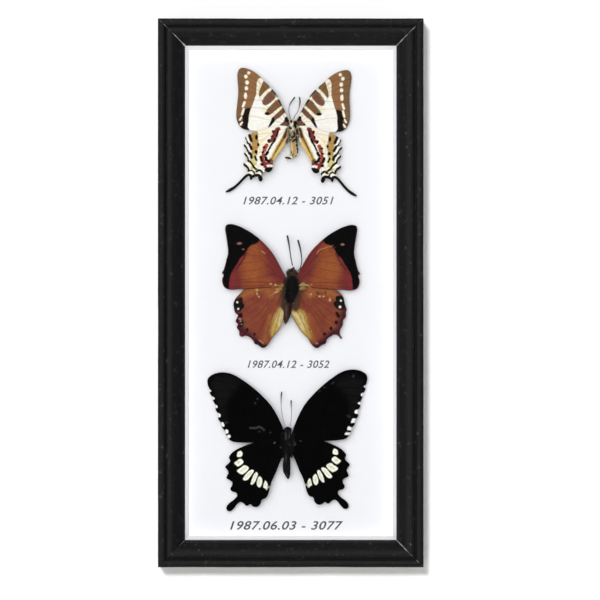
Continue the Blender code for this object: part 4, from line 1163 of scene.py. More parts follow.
mormonForewing = {
    "root": (-3.3, 2.4),
    "ground": ((2, 2, 2), (1, 1, 1)),
    "finish": {"gloss": 0, "rough": 0.8, "streaks": 0.3, "scaleContrast": 0.3,
               "veinColour": (90, 90, 90), "veinShade": 0.8, "rimColour": (3, 3, 3), "rimShade": 0.4},
    "outline": [
        (-1.6, 0.6), (-1.4, 3.5), (-2.5, 6.7), (-4.4, 11), (-7, 16), (-10, 20.5), (-14, 24.8), (-20, 30.2),
        (-26, 34.5), (-31, 37.4), (-36, 38.7), (-40.5, 38.4), (-44, 36.9), (-45.8, 35), (-45.8, 31.5),
        (-44.7, 28.7), (-44.7, 26.9), (-43.3, 24.6), (-42.9, 22.8), (-41.6, 20), (-41.4, 17.6), (-40, 14.7),
        (-39.9, 12.2), (-38.2, 9.6), (-37.7, 7.4), (-35.9, 4.9), (-35.3, 2.9), (-33.8, 0.5), (-32, -0.8),
        (-29, -1.4), (-20.8, -1.6), (-10, -1.2), (-4.8, -0.4),
    ],
    "veins": [
        [(-3.6, 5.5), (-9.5, 18.6), (-19.5, 29), (-30, 36.2)],
        [(-3.6, 4), (-9, 15), (-17, 24.2), (-22.5, 28.6)],
        [(-3.6, 2.6), (-12.4, 10), (-18.2, 16), (-22, 20.8), (-23.4, 24.6), (-23.4, 27.4), (-22.5, 28.6)],
        [(-17, 24.2), (-27, 32.5), (-35, 38)],
        [(-20, 26.7), (-30, 33), (-40.5, 38)],
        [(-22.5, 28.6), (-33, 32.6), (-45.5, 34.4)],
        [(-23.4, 27.4), (-33, 28.6), (-44.6, 27.3)],
        [(-23.4, 24.6), (-32, 24.3), (-42.8, 22.9)],
        [(-22, 20.8), (-31, 19.2), (-41.3, 17.7)],
        [(-18.2, 16), (-28.5, 13.6), (-39.8, 12.3)],
        [(-12.4, 10), (-24, 8), (-37.6, 7.5)],
        [(-3.6, 1.8), (-14, 2), (-25, 2.2), (-35.2, 3)],
    ],
    "layers": [
        ("dusting", (23, 23, 23, 0.6), 5, 1.5, [
            [(-27, 33), (-34, 37), (-44, 34), (-41, 22), (-36, 10), (-35, 22)]]),
        ("specks", (80, 79, 77, 0.6), 1, 0.7, [
            (-17.1, 23.6, 0.55, 0.55), (-18.5, 21.1, 0.45, 0.45), (-16, 4.8, 0.5, 0.3),
            (-9.8, 4.3, 0.4, 0.3), (-35, 9.9, 0.5, 0.4),
            (0.9, [(-21.5, 6.8), (-18, 6.8), (-16, 7.6), (-13.5, 5.7)])]),
        ("white", (250, 251, 250), 0.4, 0.25, [
            [(-45.4, 29.2), (-44.6, 29), (-43.9, 28.2), (-44.2, 27.5), (-45.6, 27.6)],
            [(-44.2, 24.9), (-42.6, 24.6), (-41.9, 23.8), (-42.3, 23), (-44.2, 22.8)],
            [(-42.4, 20.2), (-41, 20), (-40.2, 19.2), (-40.5, 18.3), (-42.4, 18)],
            [(-41.2, 15.4), (-39.6, 15.3), (-38.5, 14.4), (-38.6, 13.2), (-39.8, 12.9), (-41.4, 13.2)],
            [(-39.6, 9.9), (-38.3, 9.7), (-37.2, 10.1), (-36.3, 8.8), (-36.4, 7.6), (-37.6, 7.5),
             (-39.6, 7.6)],
            [(-37.4, 5), (-36.2, 5), (-35.3, 6.1), (-34.1, 5.4), (-34.1, 4), (-35.2, 3.5), (-37.2, 3.4)],
            [(-35.6, 2.4), (-34.6, 2.6), (-33.5, 3.2), (-32.6, 2.2), (-33, 1.1), (-34.6, 1)]]),
    ],
    "rightLayers": {
        "dusting": [[(27, 33), (34, 37), (44, 34), (41, 22), (36, 12), (35, 24)]],
        "specks": [(0.5, [(25.4, 32.2), (26.6, 33.1)]), (21, 30.2, 0.6, 0.3), (18, 28.2, 0.6, 0.3),
                   (35.5, 13.2, 0.5, 0.4), (38, 36.6, 0.5, 0.8), (35, 14, 0.6, 0.3)],
        "white": [
            [(44, 30.9), (45.4, 31.2), (45.6, 29.8), (44.4, 29.9)],
            [(42.2, 25.6), (42.5, 26.6), (44, 27), (44, 25), (42.9, 24.9)],
            [(40.4, 20.9), (41.2, 21.7), (43, 22), (42.8, 20.2), (41.6, 20.2)],
            [(38.6, 15.4), (38.9, 16.7), (40.2, 17.4), (42, 17.4), (41.6, 14.6), (39.8, 15.1)],
            [(36.6, 9.7), (36.9, 11.4), (37.6, 12.3), (39.2, 12.3), (41, 12.4), (40, 9.6), (38, 10)],
            [(34.4, 5.7), (34.6, 7.3), (35.5, 7.8), (36.6, 7.2), (38.6, 7.2), (38, 5.2), (35.6, 5.6)],
            [(32.9, 3), (33.3, 4.1), (34.2, 4.6), (35.2, 4.3), (37, 4.4), (36.6, 2.4), (34.4, 2.9)]],
    },
}
mormonHindwing = {
    "root": (-3.2, -2),
    "ground": ((2, 2, 2), (1, 1, 1)),
    "finish": {"gloss": 0, "rough": 0.8, "streaks": 0.25, "scaleContrast": 0.3,
               "veinColour": (90, 90, 90), "veinShade": 0.8, "rimColour": (3, 3, 3), "rimShade": 0.4},
    "outline": [
        (-1.4, -1.2), (-3.8, -0.2), (-14, -0.6), (-20.8, -2), (-26, -4), (-30, -6), (-32.7, -8.4),
        (-33.6, -10.2), (-32.9, -12.2), (-34.3, -13.9), (-35.7, -15.5), (-34.6, -17.2), (-33.9, -18.8),
        (-34.7, -20.6), (-35, -22), (-33.2, -23.1), (-31.7, -24.4), (-31.9, -26.2), (-32.8, -28.2),
        (-31.6, -29.7), (-29.6, -30.3), (-28.9, -31.8), (-30.4, -34), (-33.4, -36.3), (-35.1, -38.8),
        (-34.7, -40.5), (-33.1, -41), (-31, -39.6), (-29, -37), (-27, -35.7), (-25.2, -36.5),
        (-23.3, -37.9), (-21.4, -37), (-19.8, -38.2), (-17.6, -38.5), (-15.6, -36.9), (-14.6, -34.3),
        (-12.6, -33.6), (-11.2, -31.4), (-10, -27.3), (-9, -23.8), (-6.6, -18.6), (-4.5, -13.2),
        (-2.6, -8.8), (-1.5, -5),
    ],
    "veins": [
        [(-3.5, -1.6), (-14, -1.8), (-24, -4.2), (-30, -7)],
        [(-3.5, -2), (-9, -3), (-14, -6.5), (-16.6, -10.5), (-16.4, -13), (-14.6, -14.4), (-11.6, -13.4),
         (-7, -7.5), (-3.5, -2.4)],
        [(-9, -3), (-19, -6.6), (-28, -10.6), (-35.5, -15.3)],
        [(-14, -6.5), (-25.3, -13.4), (-34.8, -21.5)],
        [(-16.6, -10.5), (-22.3, -17), (-26, -21), (-32.6, -28.2)],
        [(-16.4, -13), (-19.3, -18.6), (-23, -25), (-28.5, -33), (-33.8, -40)],
        [(-14.6, -14.4), (-16.9, -20.8), (-19.3, -27), (-23.2, -37.5)],
        [(-11.6, -13.4), (-14, -22.5), (-15.2, -28.5), (-17.5, -38.2)],
        [(-3.4, -3.5), (-8.6, -16), (-11.6, -27), (-12.7, -33.4)],
    ],
    "layers": [
        ("specks", (104, 103, 100, 0.8), 0.6, 0.5, [(-7.4, -1.6, 0.6, 0.6), (-3.7, -4.3, 0.6, 0.6)]),
        ("patches", (254, 254, 238), 0.45, 0.35, [
            [(-28.5, -7.2), (-27.2, -6.3), (-26.3, -6.8), (-25.8, -8.2), (-26.4, -9.5), (-28.2, -9.8),
             (-28.9, -9.5), (-28.9, -8)],
            [(-30.6, -13.3), (-29, -12), (-27.3, -10.9), (-26, -11.4), (-25.3, -12.7), (-26.3, -14.2),
             (-28.4, -15.3), (-29.4, -14.6)],
            [(-29, -17.8), (-26.5, -15.8), (-25, -14.6), (-23.4, -15), (-22.2, -16), (-22.9, -17.6),
             (-24.6, -19), (-26.3, -19.8)],
            [(-25.4, -22), (-24, -20), (-22.5, -18.2), (-20.9, -17.2), (-19.5, -17.4), (-19.6, -18.6),
             (-21, -20.5), (-22.6, -22.6), (-24.2, -23.3), (-25.2, -23)],
            [(-21, -24.5), (-20, -21.5), (-18.6, -19), (-17.6, -18.6), (-17, -19.8), (-17.6, -21.8),
             (-18.6, -24), (-20, -25.6), (-21, -25.6)],
            [(-17.6, -24.6), (-16.9, -22), (-16, -20.9), (-14.8, -22), (-14.4, -23.6), (-14.8, -25.8),
             (-16, -27.2), (-17.3, -26.4)],
            [(-13.9, -27.2), (-13.3, -24.4), (-12.7, -23.4), (-11.7, -24.6), (-11.2, -26.6), (-11.4, -28),
             (-12, -28.9), (-12.8, -27.8)]]),
        ("hearts", (230, 230, 206, 0.9), 0.9, 0.4, [
            (-27.4, -8.2, 0.5, 0.7), (-27.9, -13.1, 1.1, 0.9), (1.5, [(-26.6, -17.7), (-24, -16.3)]),
            (1.1, [(-23.9, -21.6), (-21.2, -18.7)]), (1, [(-19.9, -23.9), (-18.2, -20.4)]),
            (1.1, [(-16.2, -25.4), (-15.9, -22.8)]), (0.9, [(-12.3, -26.6), (-12.6, -25)])]),
        ("yellowish", (196, 190, 140, 0.8), 0.5, 0.3, [(-10.5, -27.1, 0.5, 0.6)]),
    ],
}


def ringMesh(rings):
    # A skin over rings of points, closed at both ends.
    count = len(rings[0])
    verts = [p for ring in rings for p in ring]
    faces = []
    for r in range(len(rings) - 1):
        for k in range(count):
            a, b = r * count + k, r * count + (k + 1) % count
            faces.append((a, b, b + count, a + count))
    for ring, flip in ((0, True), (len(rings) - 1, False)):
        tip = len(verts)
        verts.append(np.mean(rings[ring], axis=0))
        for k in range(count):
            a, b = ring * count + k, ring * count + (k + 1) % count
            faces.append((b, a, tip) if flip else (a, b, tip))
    return np.array(verts), faces


def rod(route, radii, sides=8, bands=0.0):
    # A round rod along 3-D points; radii are given from its start to its end.
    route = np.asarray(route, float)
    count = len(route)
    size = np.interp(np.linspace(0, 1, count), np.linspace(0, 1, len(radii)), radii)
    along = np.gradient(route, axis=0)
    along /= np.linalg.norm(along, axis=1)[:, None]
    across = np.cross(along, [0.0, 1.0, 0.0])
    across /= np.maximum(np.linalg.norm(across, axis=1), 1e-6)[:, None]
    up = np.cross(across, along)
    rings = []
    for i in range(count):
        radius = size[i] * (1.0 + bands * (i % 2))
        angles = np.linspace(0, 2 * math.pi, sides, endpoint=False)
        rings.append([route[i] + radius * (across[i] * math.cos(t) + up[i] * math.sin(t)) for t in angles])
    return ringMesh(rings)


def blob(centre, sizes, rings=12, sides=16, turn=0.0):
    # A closed egg shape: an eye, a palp or a joint.
    c, s = math.cos(turn), math.sin(turn)
    made = []
    for i in range(1, rings):
        t = math.pi * i / rings
        ring = []
        for k in range(sides):
            a = 2 * math.pi * k / sides
            x = sizes[0] * math.sin(t) * math.cos(a)
            y = sizes[1] * math.sin(t) * math.sin(a)
            z = sizes[2] * math.cos(t)
            ring.append((centre[0] + x * c + z * s, centre[1] + y, centre[2] - x * s + z * c))
        made.append(ring)
    return ringMesh(made)


def hairs(roots, aims, lengths, radius, droop, rng, curl=0.3):
    # Tapered hairs, each bent once, from roots (n, 3) along aims (n, 3).
    count = len(roots)
    aims = aims / np.maximum(np.linalg.norm(aims, axis=1), 1e-6)[:, None]
    side = np.cross(aims, [0.13, 0.91, 0.37])
    side /= np.maximum(np.linalg.norm(side, axis=1), 1e-6)[:, None]
    other = np.cross(aims, side)
    bend = side * rng.normal(0, curl, count)[:, None]
    bend = bend + other * rng.normal(0, curl, count)[:, None] + droop
    verts = np.zeros((count, 7, 3))
    for ring, (t, size) in enumerate(((0.0, 1.0), (0.55, 0.75))):
        middleOf = roots + (aims * t + bend * t * t * 0.5) * lengths[:, None]
        for k in range(3):
            a = 2 * math.pi * k / 3
            verts[:, ring * 3 + k] = middleOf + (side * math.cos(a) + other * math.sin(a)) * radius * size
    verts[:, 6] = roots + (aims + bend * 0.5) * lengths[:, None]
    one = [(0, 2, 1), (0, 1, 4, 3), (1, 2, 5, 4), (2, 0, 3, 5), (3, 4, 6), (4, 5, 6), (5, 3, 6)]
    faces = [tuple(h * 7 + i for i in face) for h in range(count) for face in one]
    along = np.tile([0.0, 0.0, 0.0, 0.55, 0.55, 0.55, 1.0], count)
    shade = np.repeat(rng.random(count), 7)
    return verts.reshape(-1, 3), faces, along, shade


def joined(parts):
    # Several (verts, faces) as one, and the kind of part that each point belongs to.
    verts, faces, kinds = [], [], []
    start = 0
    for kind, (points, polygons) in parts:
        verts.append(points)
        faces += [tuple(i + start for i in face) for face in polygons]
        kinds += [kind] * len(points)
        start += len(points)
    return np.vstack(verts), faces, kinds


def facesOut(obj):
    pick(obj)
    bpy.ops.object.mode_set(mode="EDIT")
    bpy.ops.mesh.select_all(action="SELECT")
    bpy.ops.mesh.normals_make_consistent(inside=False)
    bpy.ops.object.mode_set(mode="OBJECT")


def bodyRings(stations, height, groove, sides=36, steps=7):
    # Smooth rings through the body's stations, with a groove between abdomen segments.
    line = rounded(stations, steps, False)
    along = np.gradient(line[:, :2], axis=0)
    along /= np.linalg.norm(along, axis=1)[:, None]
    walked = np.concatenate([[0.0], np.cumsum(np.hypot(*np.diff(line[:, :2], axis=0).T))])
    rings = []
    for (x, z, wide, deep), (ax, az), s in zip(line, along, walked):
        pinch = 1.0
        if z < groove["below"]:
            phase = (s / groove["spacing"]) % 1.0
            pinch -= groove["depth"] * math.exp(-((phase - 0.5) / 0.16) ** 2)
        ring = []
        for k in range(sides):
            a = 2 * math.pi * k / sides
            lump = 1.0 + 0.05 * noise.noise(Vector((x * 0.9, math.sin(a) * 2, z * 0.9 + math.cos(a))))
            w, d = max(wide, 0.12) * pinch * lump, max(deep, 0.12) * pinch * lump
            ring.append((x - az * w * math.cos(a), -height + d * math.sin(a), z + ax * w * math.cos(a)))
        rings.append(ring)
    return line, rings


def bodyMaterial(name, spec):
    material, tree, shader = startMaterial(name, Specular_IOR_Level=0.1)
    coarse = clouds(tree, place(tree), 900.0, 4.0, 0.6)
    fine = clouds(tree, stretched(tree, place(tree), (1.0, 1.0, 0.3)), 5200.0, 3.0, 0.6)
    colour = blend(tree, spread(tree, coarse, 0.35, 0.68), *(tone(*paint) for paint in spec["skin"]))
    for label, paint, softness, ragged, _ in spec["marks"]:
        mask = useGroup(tree, raggedMask, "Mask", Distance=fieldOf(tree, label), Softness=softness,
                        Ragged=ragged, Scale=1500.0)
        colour = blend(tree, mask, colour, tone(*paint))
    colour = blend(tree, 1.0, colour, spread(tree, fine, 0.3, 0.7, 0.78, 1.15), "MULTIPLY")
    connect(tree, shader, Base_Color=colour, Roughness=spread(tree, coarse, 0.3, 0.7, 0.55, 0.8))
    bump(tree, shader, calc(tree, "ADD", coarse, fine), 0.6, 0.00015)
    return material


def hairMaterial(name, spec):
    material, tree, shader = startMaterial(name, Specular_IOR_Level=0.08)
    shade = fieldOf(tree, "hairShade")
    length = calc(tree, "ADD", calc(tree, "MULTIPLY", fieldOf(tree, "hairAlong"), 0.6),
                  calc(tree, "MULTIPLY", shade, 0.45), clamp=True)
    colour = blend(tree, length, *(tone(*paint) for paint in spec["hairTones"]))
    dark = spread(tree, fieldOf(tree, "darkHair"), -0.5, 0.5)
    colour = blend(tree, dark, colour, tone(*spec["darkHair"]))
    colour = blend(tree, fieldOf(tree, "hairPale"), colour, tone(*spec["paleHair"]))
    streaky = clouds(tree, place(tree), 1400.0, 2.0)
    colour = blend(tree, 1.0, colour, spread(tree, streaky, 0.3, 0.7, 0.72, 1.2), "MULTIPLY")
    connect(tree, shader, Base_Color=colour, Roughness=spread(tree, shade, 0.0, 1.0, 0.55, 0.8))
    return material


def eyeMaterial():
    material, tree, shader = startMaterial("eyeLens", Specular_IOR_Level=0.5,
                                           Coat_Weight=0.3, Coat_Roughness=0.2)
    facets = node(tree, "ShaderNodeTexVoronoi", {"Vector": place(tree), "Scale": 9000.0,
                                                 "Randomness": 0.3}).outputs["Distance"]
    connect(tree, shader, Base_Color=blend(tree, facets, tone(20, 17, 16), tone(8, 7, 7)),
            Roughness=spread(tree, facets, 0.0, 1.0, 0.25, 0.45))
    bump(tree, shader, facets, 0.4, 0.00004)
    return material


def antennaMaterial(name, shaft, club):
    material, tree, shader = startMaterial(name, Specular_IOR_Level=0.3)
    along = fieldOf(tree, "fromRoot")
    rings = calc(tree, "SINE", calc(tree, "MULTIPLY", along, 420.0))
    colour = blend(tree, spread(tree, along, 0.8, 0.9), tone(*shaft), tone(*club))
    colour = blend(tree, 1.0, colour, spread(tree, rings, -1.0, 1.0, 0.75, 1.1), "MULTIPLY")
    connect(tree, shader, Base_Color=colour, Roughness=spread(tree, rings, -1.0, 1.0, 0.6, 0.42))
    bump(tree, shader, rings, 0.3, 0.00003)
    return material


specimens = {
    "swordtail": {
        "place": (0.6, 95.5), "wingHeight": 3.6, "droop": 3.6, "front": "hindwing",
        "forewing": swordtailForewing, "hindwing": swordtailHindwing,
        "right": {"forewing": (-3.8, 1.1, 0.6), "hindwing": (-4.2, 2.1, 0.4)},
        "body": [
            (0.1, 4.1, 0.4, 0.4), (0.4, 3.2, 1.7, 1.5), (0.6, 1.6, 2.6, 2), (0.7, 0.2, 2.6, 2.1),
            (0.6, -1, 2.3, 2), (0.6, -2.8, 2.5, 2.5), (0.7, -5, 2.4, 2.4), (0.9, -7, 2.1, 2),
            (1.2, -8.8, 2.1, 1.9), (1.3, -11.5, 2.3, 2), (1.5, -14, 2.3, 1.9), (0.8, -16.2, 1.9, 1.7),
            (-0.9, -17.5, 1.3, 1.3), (-2.7, -17.9, 0.9, 0.9), (-3.9, -17.8, 0.3, 0.3)],
        "groove": {"below": -8.5, "spacing": 1.35, "depth": 0.07},
        "skin": ((232, 220, 184), (214, 196, 150)),
        "marks": [
            ("ochre", (186, 154, 96), 1.2, 0.8, [
                (2.2, [(1.2, -9), (1.4, -13), (0.8, -16), (-1, -17.2)]), (0.9, [(-1, -9), (-0.6, -15)])]),
            ("olive", (116, 98, 56), 0.7, 0.5, [
                (-1.1, -4.8, 0.7, 0.8), (1, [(0.6, -2.6), (1.2, -3.6)]),
                (0.9, [(-1.6, -10.4), (-1.2, -14)]), (0.9, [(0.7, -16), (0.6, -17.4)]),
                (0.8, [(3.4, -13), (3.6, -16.2)])]),
            ("black", (18, 15, 14), 0.5, 0.5, [
                (-0.3, 2.9, 0.7, 0.9),
                [(-3, 2.4), (-1.9, 2.5), (-1.6, 1), (-1.4, 0.2), (-0.8, -0.4), (0.2, -0.6), (0, -1.5),
                 (-0.9, -1.7), (-1.7, -0.8), (-2.6, 0), (-3.2, 1)],
                [(0.9, 2.9), (2.2, 3.2), (3.3, 2), (3.4, 0.4), (2.7, -0.4), (2.7, -1.5), (2, -1.5),
                 (1.6, -0.5), (0.9, 0.1), (1, 1.4)],
                (1.2, [(2.9, -1.8), (3.1, -4.2)]), (0.9, [(1.5, -4), (1.7, -5), (1.2, -5.7), (0, -6.4)]),
                (1, [(2.8, -6), (2.9, -7.2), (1.5, -7.9), (0.5, -8.7)]), (1, [(2.8, -7.6), (2.7, -9.4)]),
                (2.8, -10.8, 0.7, 1.1), (3.3, -12.8, 0.7, 0.7), (3.5, -14.7, 0.7, 0.8),
                (2.9, -17.2, 1, 0.8), (1.3, -18.6, 0.9, 0.7),
                (1, [(-4.2, -17.4), (-2, -18.3), (0.2, -18.9)]), (-0.5, -14.9, 0.6, 0.7)]),
            ("pale", (250, 247, 236), 0.5, 0.4, [
                (-0.3, 0.6, 0.9, 0.6), (0.6, [(-1.2, 1.9), (-0.8, 0.8)]), (0.6, [(0.5, 1.9), (0.2, 0.8)]),
                (1, [(0.8, -0.9), (0.9, -1.8)]), (0.7, [(-0.8, -2.6), (-1.4, -3.6)]),
                (0.7, [(2.2, -5.9), (1.2, -6.9), (0.2, -7.6)]),
                # the stroke below, along the abdomen's end, is a painted highlight, not a pale marking
                (0.8, [(-2.6, -16.7), (-0.9, -17.1), (0.1, -17.9)])])],
        "legs": [  # radius, then x, height above the body's middle and z
            (0.24, [(-0.2, 2, 0.6), (0.8, 2.6, -2.2), (1.8, 2.75, -4.9), (0.3, 2.7, -6.3),
              (-0.9, 2.2, -7.2)]),
            (0.24, [(2.9, 2, -1), (3.2, 2.3, -4.6), (2.8, 2.4, -7), (1, 2.3, -8.6), (-0.6, 2, -9.2)]),
            (0.2, [(-1.4, 1.8, -16.8), (-2.4, 1.2, -18.4), (-2.5, 0.7, -19.7), (-1.6, 0.6, -20)]),
            (0.34, [(-1.3, 1.5, 2.6), (-0.7, 2.1, 3.4), (-0.4, 2.2, 4.2)]),
            (0.34, [(1.9, 1.5, 2.6), (1.4, 2.1, 3.4), (1, 2.2, 4.1)])],
        "coat": [(-8, 3.4, 900, 0.8, -0.5), (-7.6, -1.5, 700, 1.2, -0.9)],
        "tufts": [
            (-1.6, 1, -2, -6.5, 260, 1.3, -0.8, -0.8, 0.5), (2.8, 1, 3, -6.5, 260, 1.3, 0.8, -0.8, 0.5),
            (-2.2, -6.6, -2.6, -8.6, 160, 2.2, -0.6, -1, 0), (3.2, -1, 3.6, -6, 140, 1.4, 0.4, -1, 0)],
        "eyes": [((-1.75, -3, 1.4), (1.15, 1.2, 1.7), 0.15), ((2.05, -3, 1.4), (1.1, 1.2, 1.55), -0.15)],
        "antennae": {
            "left": [(-0.8, 4.3), (-1.6, 8), (-1.6, 11), (-0.8, 13.2), (0.4, 15.1), (1.8, 16.9)],
            "right": [(0.9, 4.2), (2, 6.4), (3.4, 8.6), (4.2, 11), (4.7, 14), (4.4, 16.9)]},
        "antennaTones": ((96, 98, 108), (34, 32, 33)), "antennaRadii": (0.2, 0.17, 0.17, 0.4, 0.36),
        "hairTones": ((88, 66, 44), (150, 124, 84)), "darkHair": (22, 18, 16), "paleHair": (236, 226, 200),
    },
    "rajah": {
        "place": (0.5, 3.6), "wingHeight": 3.8, "droop": 3.2, "front": "forewing",
        "forewing": rajahForewing, "hindwing": rajahHindwing,
        "right": {"forewing": (-0.8, -0.9, 0), "hindwing": (0, -1.6, 0)},
        "body": [
            (1.3, 11.3, 0.3, 0.3), (1, 10.4, 0.9, 0.8), (0.6, 9.2, 1.8, 1.4), (0.3, 7.8, 2.6, 1.9),
            (0.1, 6.2, 2.3, 1.9), (0, 4.5, 2.8, 2.5), (0, 1, 3.2, 2.9), (-0.1, -2.5, 3.1, 2.8),
            (-0.4, -6, 2.6, 2.3), (-1.2, -8.6, 2.4, 2), (-1.9, -11, 2.5, 1.9), (-2.3, -14, 2.2, 1.8),
            (-2.8, -17, 1.8, 1.6), (-3.3, -19.6, 1.2, 1), (-3.6, -21.6, 0.3, 0.3)],
        "groove": {"below": -9.5, "spacing": 1.7, "depth": 0.06},
        "skin": ((68, 45, 38), (44, 28, 24)),
        "marks": [
            ("black", (17, 14, 14), 1, 0.7, [
                [(-2.2, 4.4), (-0.6, 6.2), (1.6, 6), (3.4, 4.4), (4.2, 1), (4, -2.6), (3.1, -5.2),
                 (2.1, -7), (1.1, -9.4), (-1.4, -9.8), (-3.7, -8.5), (-4.3, -6.6), (-3.7, -4), (-3.4, -1),
                 (-3, 2)],
                (1, [(-1, -10.6), (-1, -13), (-1.1, -16.6)]), (2.8, 7.5, 0.5, 0.6),
                (1.5, [(-2.8, 7.9), (-1.4, 8.5), (0, 9.3)])]),
            ("brown", (92, 66, 57), 1, 0.6, [
                (0.9, [(-0.4, 8.2), (0.2, 7.4)]), (1, [(-3.2, -11), (-3.3, -16.6)]),
                (0.7, [(1, 10.4), (1.4, 8.6)])]),
            ("glint", (66, 70, 74), 0.8, 0.5, [(0.4, -5.8, 0.7, 0.4), (-0.6, -3.8, 0.8, 0.3)])],
        "eyes": [((-2, -3, 8.2), (1.1, 1.3, 1.4), 0.3), ((2.8, -3, 7.6), (1, 1.3, 1.3), -0.3)],
        "antennae": {
            "left": [(0.6, 11.9), (0.2, 13.5), (-0.4, 16.5), (-1, 20.5), (-1.6, 24.8), (-2.5, 29.4)],
            "right": [(3.4, 8.9), (4.6, 9.8), (5.5, 12.6), (5.8, 16), (5, 21.5), (3.6, 26.8)]},
        "antennaTones": ((66, 64, 66), (38, 37, 38)), "antennaRadii": (0.3, 0.27, 0.28, 0.34, 0.5, 0.46),
        "hairTones": ((50, 37, 32), (104, 82, 72)), "darkHair": (17, 15, 15), "paleHair": (196, 168, 104),
        "coat": [(-9.5, 9.5, 2600, 1.2, -0.8), (-6, 5, 900, 1.6, -0.9), (-20, -9, 900, 0.6, -1.6)],
        "tufts": [
            (-3, 5, -4, -6, 800, 2.1, -0.8, -0.8, 0), (3.2, 5, 3.6, -6, 700, 2, 0.9, -0.8, 0),
            (-3.8, -4, -4.4, -12, 500, 2.8, -0.5, -1.3, 0.04), (2, -6, 1.4, -12, 500, 3.2, 0.6, -1.3, 0.04),
            (-4, -8, 2, -9.6, 160, 0.9, -0.1, -1, 0.5), (-3.4, -1, -4.2, -7, 160, 0.9, -1, 0.2, 0.45),
            (-4.2, 1, -5.6, -0.4, 90, 1.8, -1.3, 0.5, 0.9),
            (-5.6, -0.4, -7.6, -1.2, 90, 1.8, -1.3, -0.5, 1), (4.2, 0.4, 5, 0.8, 110, 3.4, 1.5, 0.5, 0.9),
            (4.2, -1.6, 5.4, -0.8, 110, 3.2, 1.5, 0.3, 0.8), (5.4, 1.4, 9, 1, 90, 1.8, 1.5, -0.5, 0.9),
            (-2, 9.6, 2.4, 9, 120, 0.9, 0.2, 1, 0)],
    },
    "mormon": {
        "place": (-1.9, -84.4), "wingHeight": 3.7, "droop": 2.9, "front": "forewing",
        "forewing": mormonForewing, "hindwing": mormonHindwing,
        "right": {"forewing": (2.4, 1.3, 0.1), "hindwing": (0, 0.1, 1.3)},
        "body": [
            (0.2, 7.6, 0.4, 0.4), (0.2, 6.9, 1.4, 1.3), (0.2, 5.6, 1.7, 1.5), (0.1, 4.5, 1.6, 1.6),
            (0, 3, 2.3, 2.3), (0, 0.5, 2.7, 2.7), (0, -2.5, 2.5, 2.5), (-0.2, -5, 2, 2),
            (-0.3, -7.5, 2.1, 2), (-0.2, -10.4, 1.9, 2), (-0.5, -14, 2.2, 2.1), (-0.4, -17.6, 2.1, 1.8),
            (0.2, -20.6, 1.3, 1.1), (0.5, -22.5, 0.3, 0.3)],
        "groove": {"below": -6.5, "spacing": 1.75, "depth": 0.06},
        "skin": ((7, 7, 7), (4, 4, 4)),
        "marks": [
            ("grey", (66, 66, 66), 0.8, 0.8, [
                (0.4, [(-0.9, -9), (-0.8, -12)]), (0.5, [(-0.8, -19.4), (0.2, -20.8)]),
                (0.9, [(-0.9, 0.6), (-0.9, 5.4)]), (0.8, [(0.9, 1.2), (1.1, 4.6), (0.7, 5)]),
                (2.2, 4, 0.5, 0.6), (1.2, -2.6, 0.5, 0.5), (-2.4, 4, 0.4, 0.6)])],
        "eyes": [((-1.35, -2.9, 5.9), (0.8, 0.95, 1.05), 0.2),
         ((1.75, -2.9, 5.9), (0.8, 0.95, 1.05), -0.2)],
        "antennae": {
            "left": [(-1.2, 7.8), (-2.3, 11), (-3.3, 16), (-3.7, 22), (-3.3, 27.6)],
            "right": [(1.4, 7.8), (2.1, 11), (2.4, 16), (2.2, 19.5), (2.1, 22.8)]},
        "antennaTones": ((166, 166, 174), (70, 70, 74)), "antennaRadii": (0.18, 0.16, 0.17, 0.2, 0.4, 0.38),
        "hairTones": ((6, 6, 6), (18, 18, 18)), "darkHair": (52, 52, 52), "paleHair": (84, 82, 80),
        "coat": [(-6, 7.2, 1800, 1, -0.6), (-21, -6, 600, 0.4, -1.5)],
        "tufts": [
            (-2.6, 4.6, -2.2, -4, 600, 2, -0.9, -0.8, 0), (2.8, 4.6, 2.2, -4, 600, 2, 0.9, -0.8, 0),
            (-2, -4, -2.2, -9, 300, 2.2, -0.4, -1.2, 0), (2, -4, 2, -9, 300, 2.2, 0.4, -1.2, 0),
            (3.2, 0.4, 4.4, -2.4, 16, 1.2, 0.8, -0.6, 1)],
    },
}


fur = {
    "hair": 0.045, "tuftHair": 0.06, "tuftLift": 0.45,  # radii and lift in mm
    # how much a hair bends down in its own length, how flat it lies, how deep its root is
    "hairDroop": (0.0, 0.25, -0.15), "tuftDroop": (0.0, 0.05, -0.05), "lying": 0.65, "sunk": 0.96,
}


def coatOn(line, height, rng, low, high, count, length, lean):
    # Roots, aims and lengths of hairs on the upper half of the body between two places along Z.
    roots, aims = [], []
    keep = line[(line[:, 1] > low) & (line[:, 1] < high)]
    for _ in range(count):
        x, z, wide, deep = keep[rng.integers(len(keep))] + rng.normal(0, 0.06, 4)
        a = math.pi * rng.random() + math.pi
        side, up = math.cos(a), math.sin(a)
        roots.append((x + side * wide * fur["sunk"], -height + up * deep * fur["sunk"],
                      z + rng.normal(0, 0.2)))
        aims.append((side * fur["lying"] + rng.normal(0, 0.22), up * 0.55 + rng.normal(0, 0.15),
                     lean + rng.normal(0, 0.3)))
    sizes = length * (0.55 + 0.75 * rng.random(count))
    return np.array(roots), np.array(aims), sizes


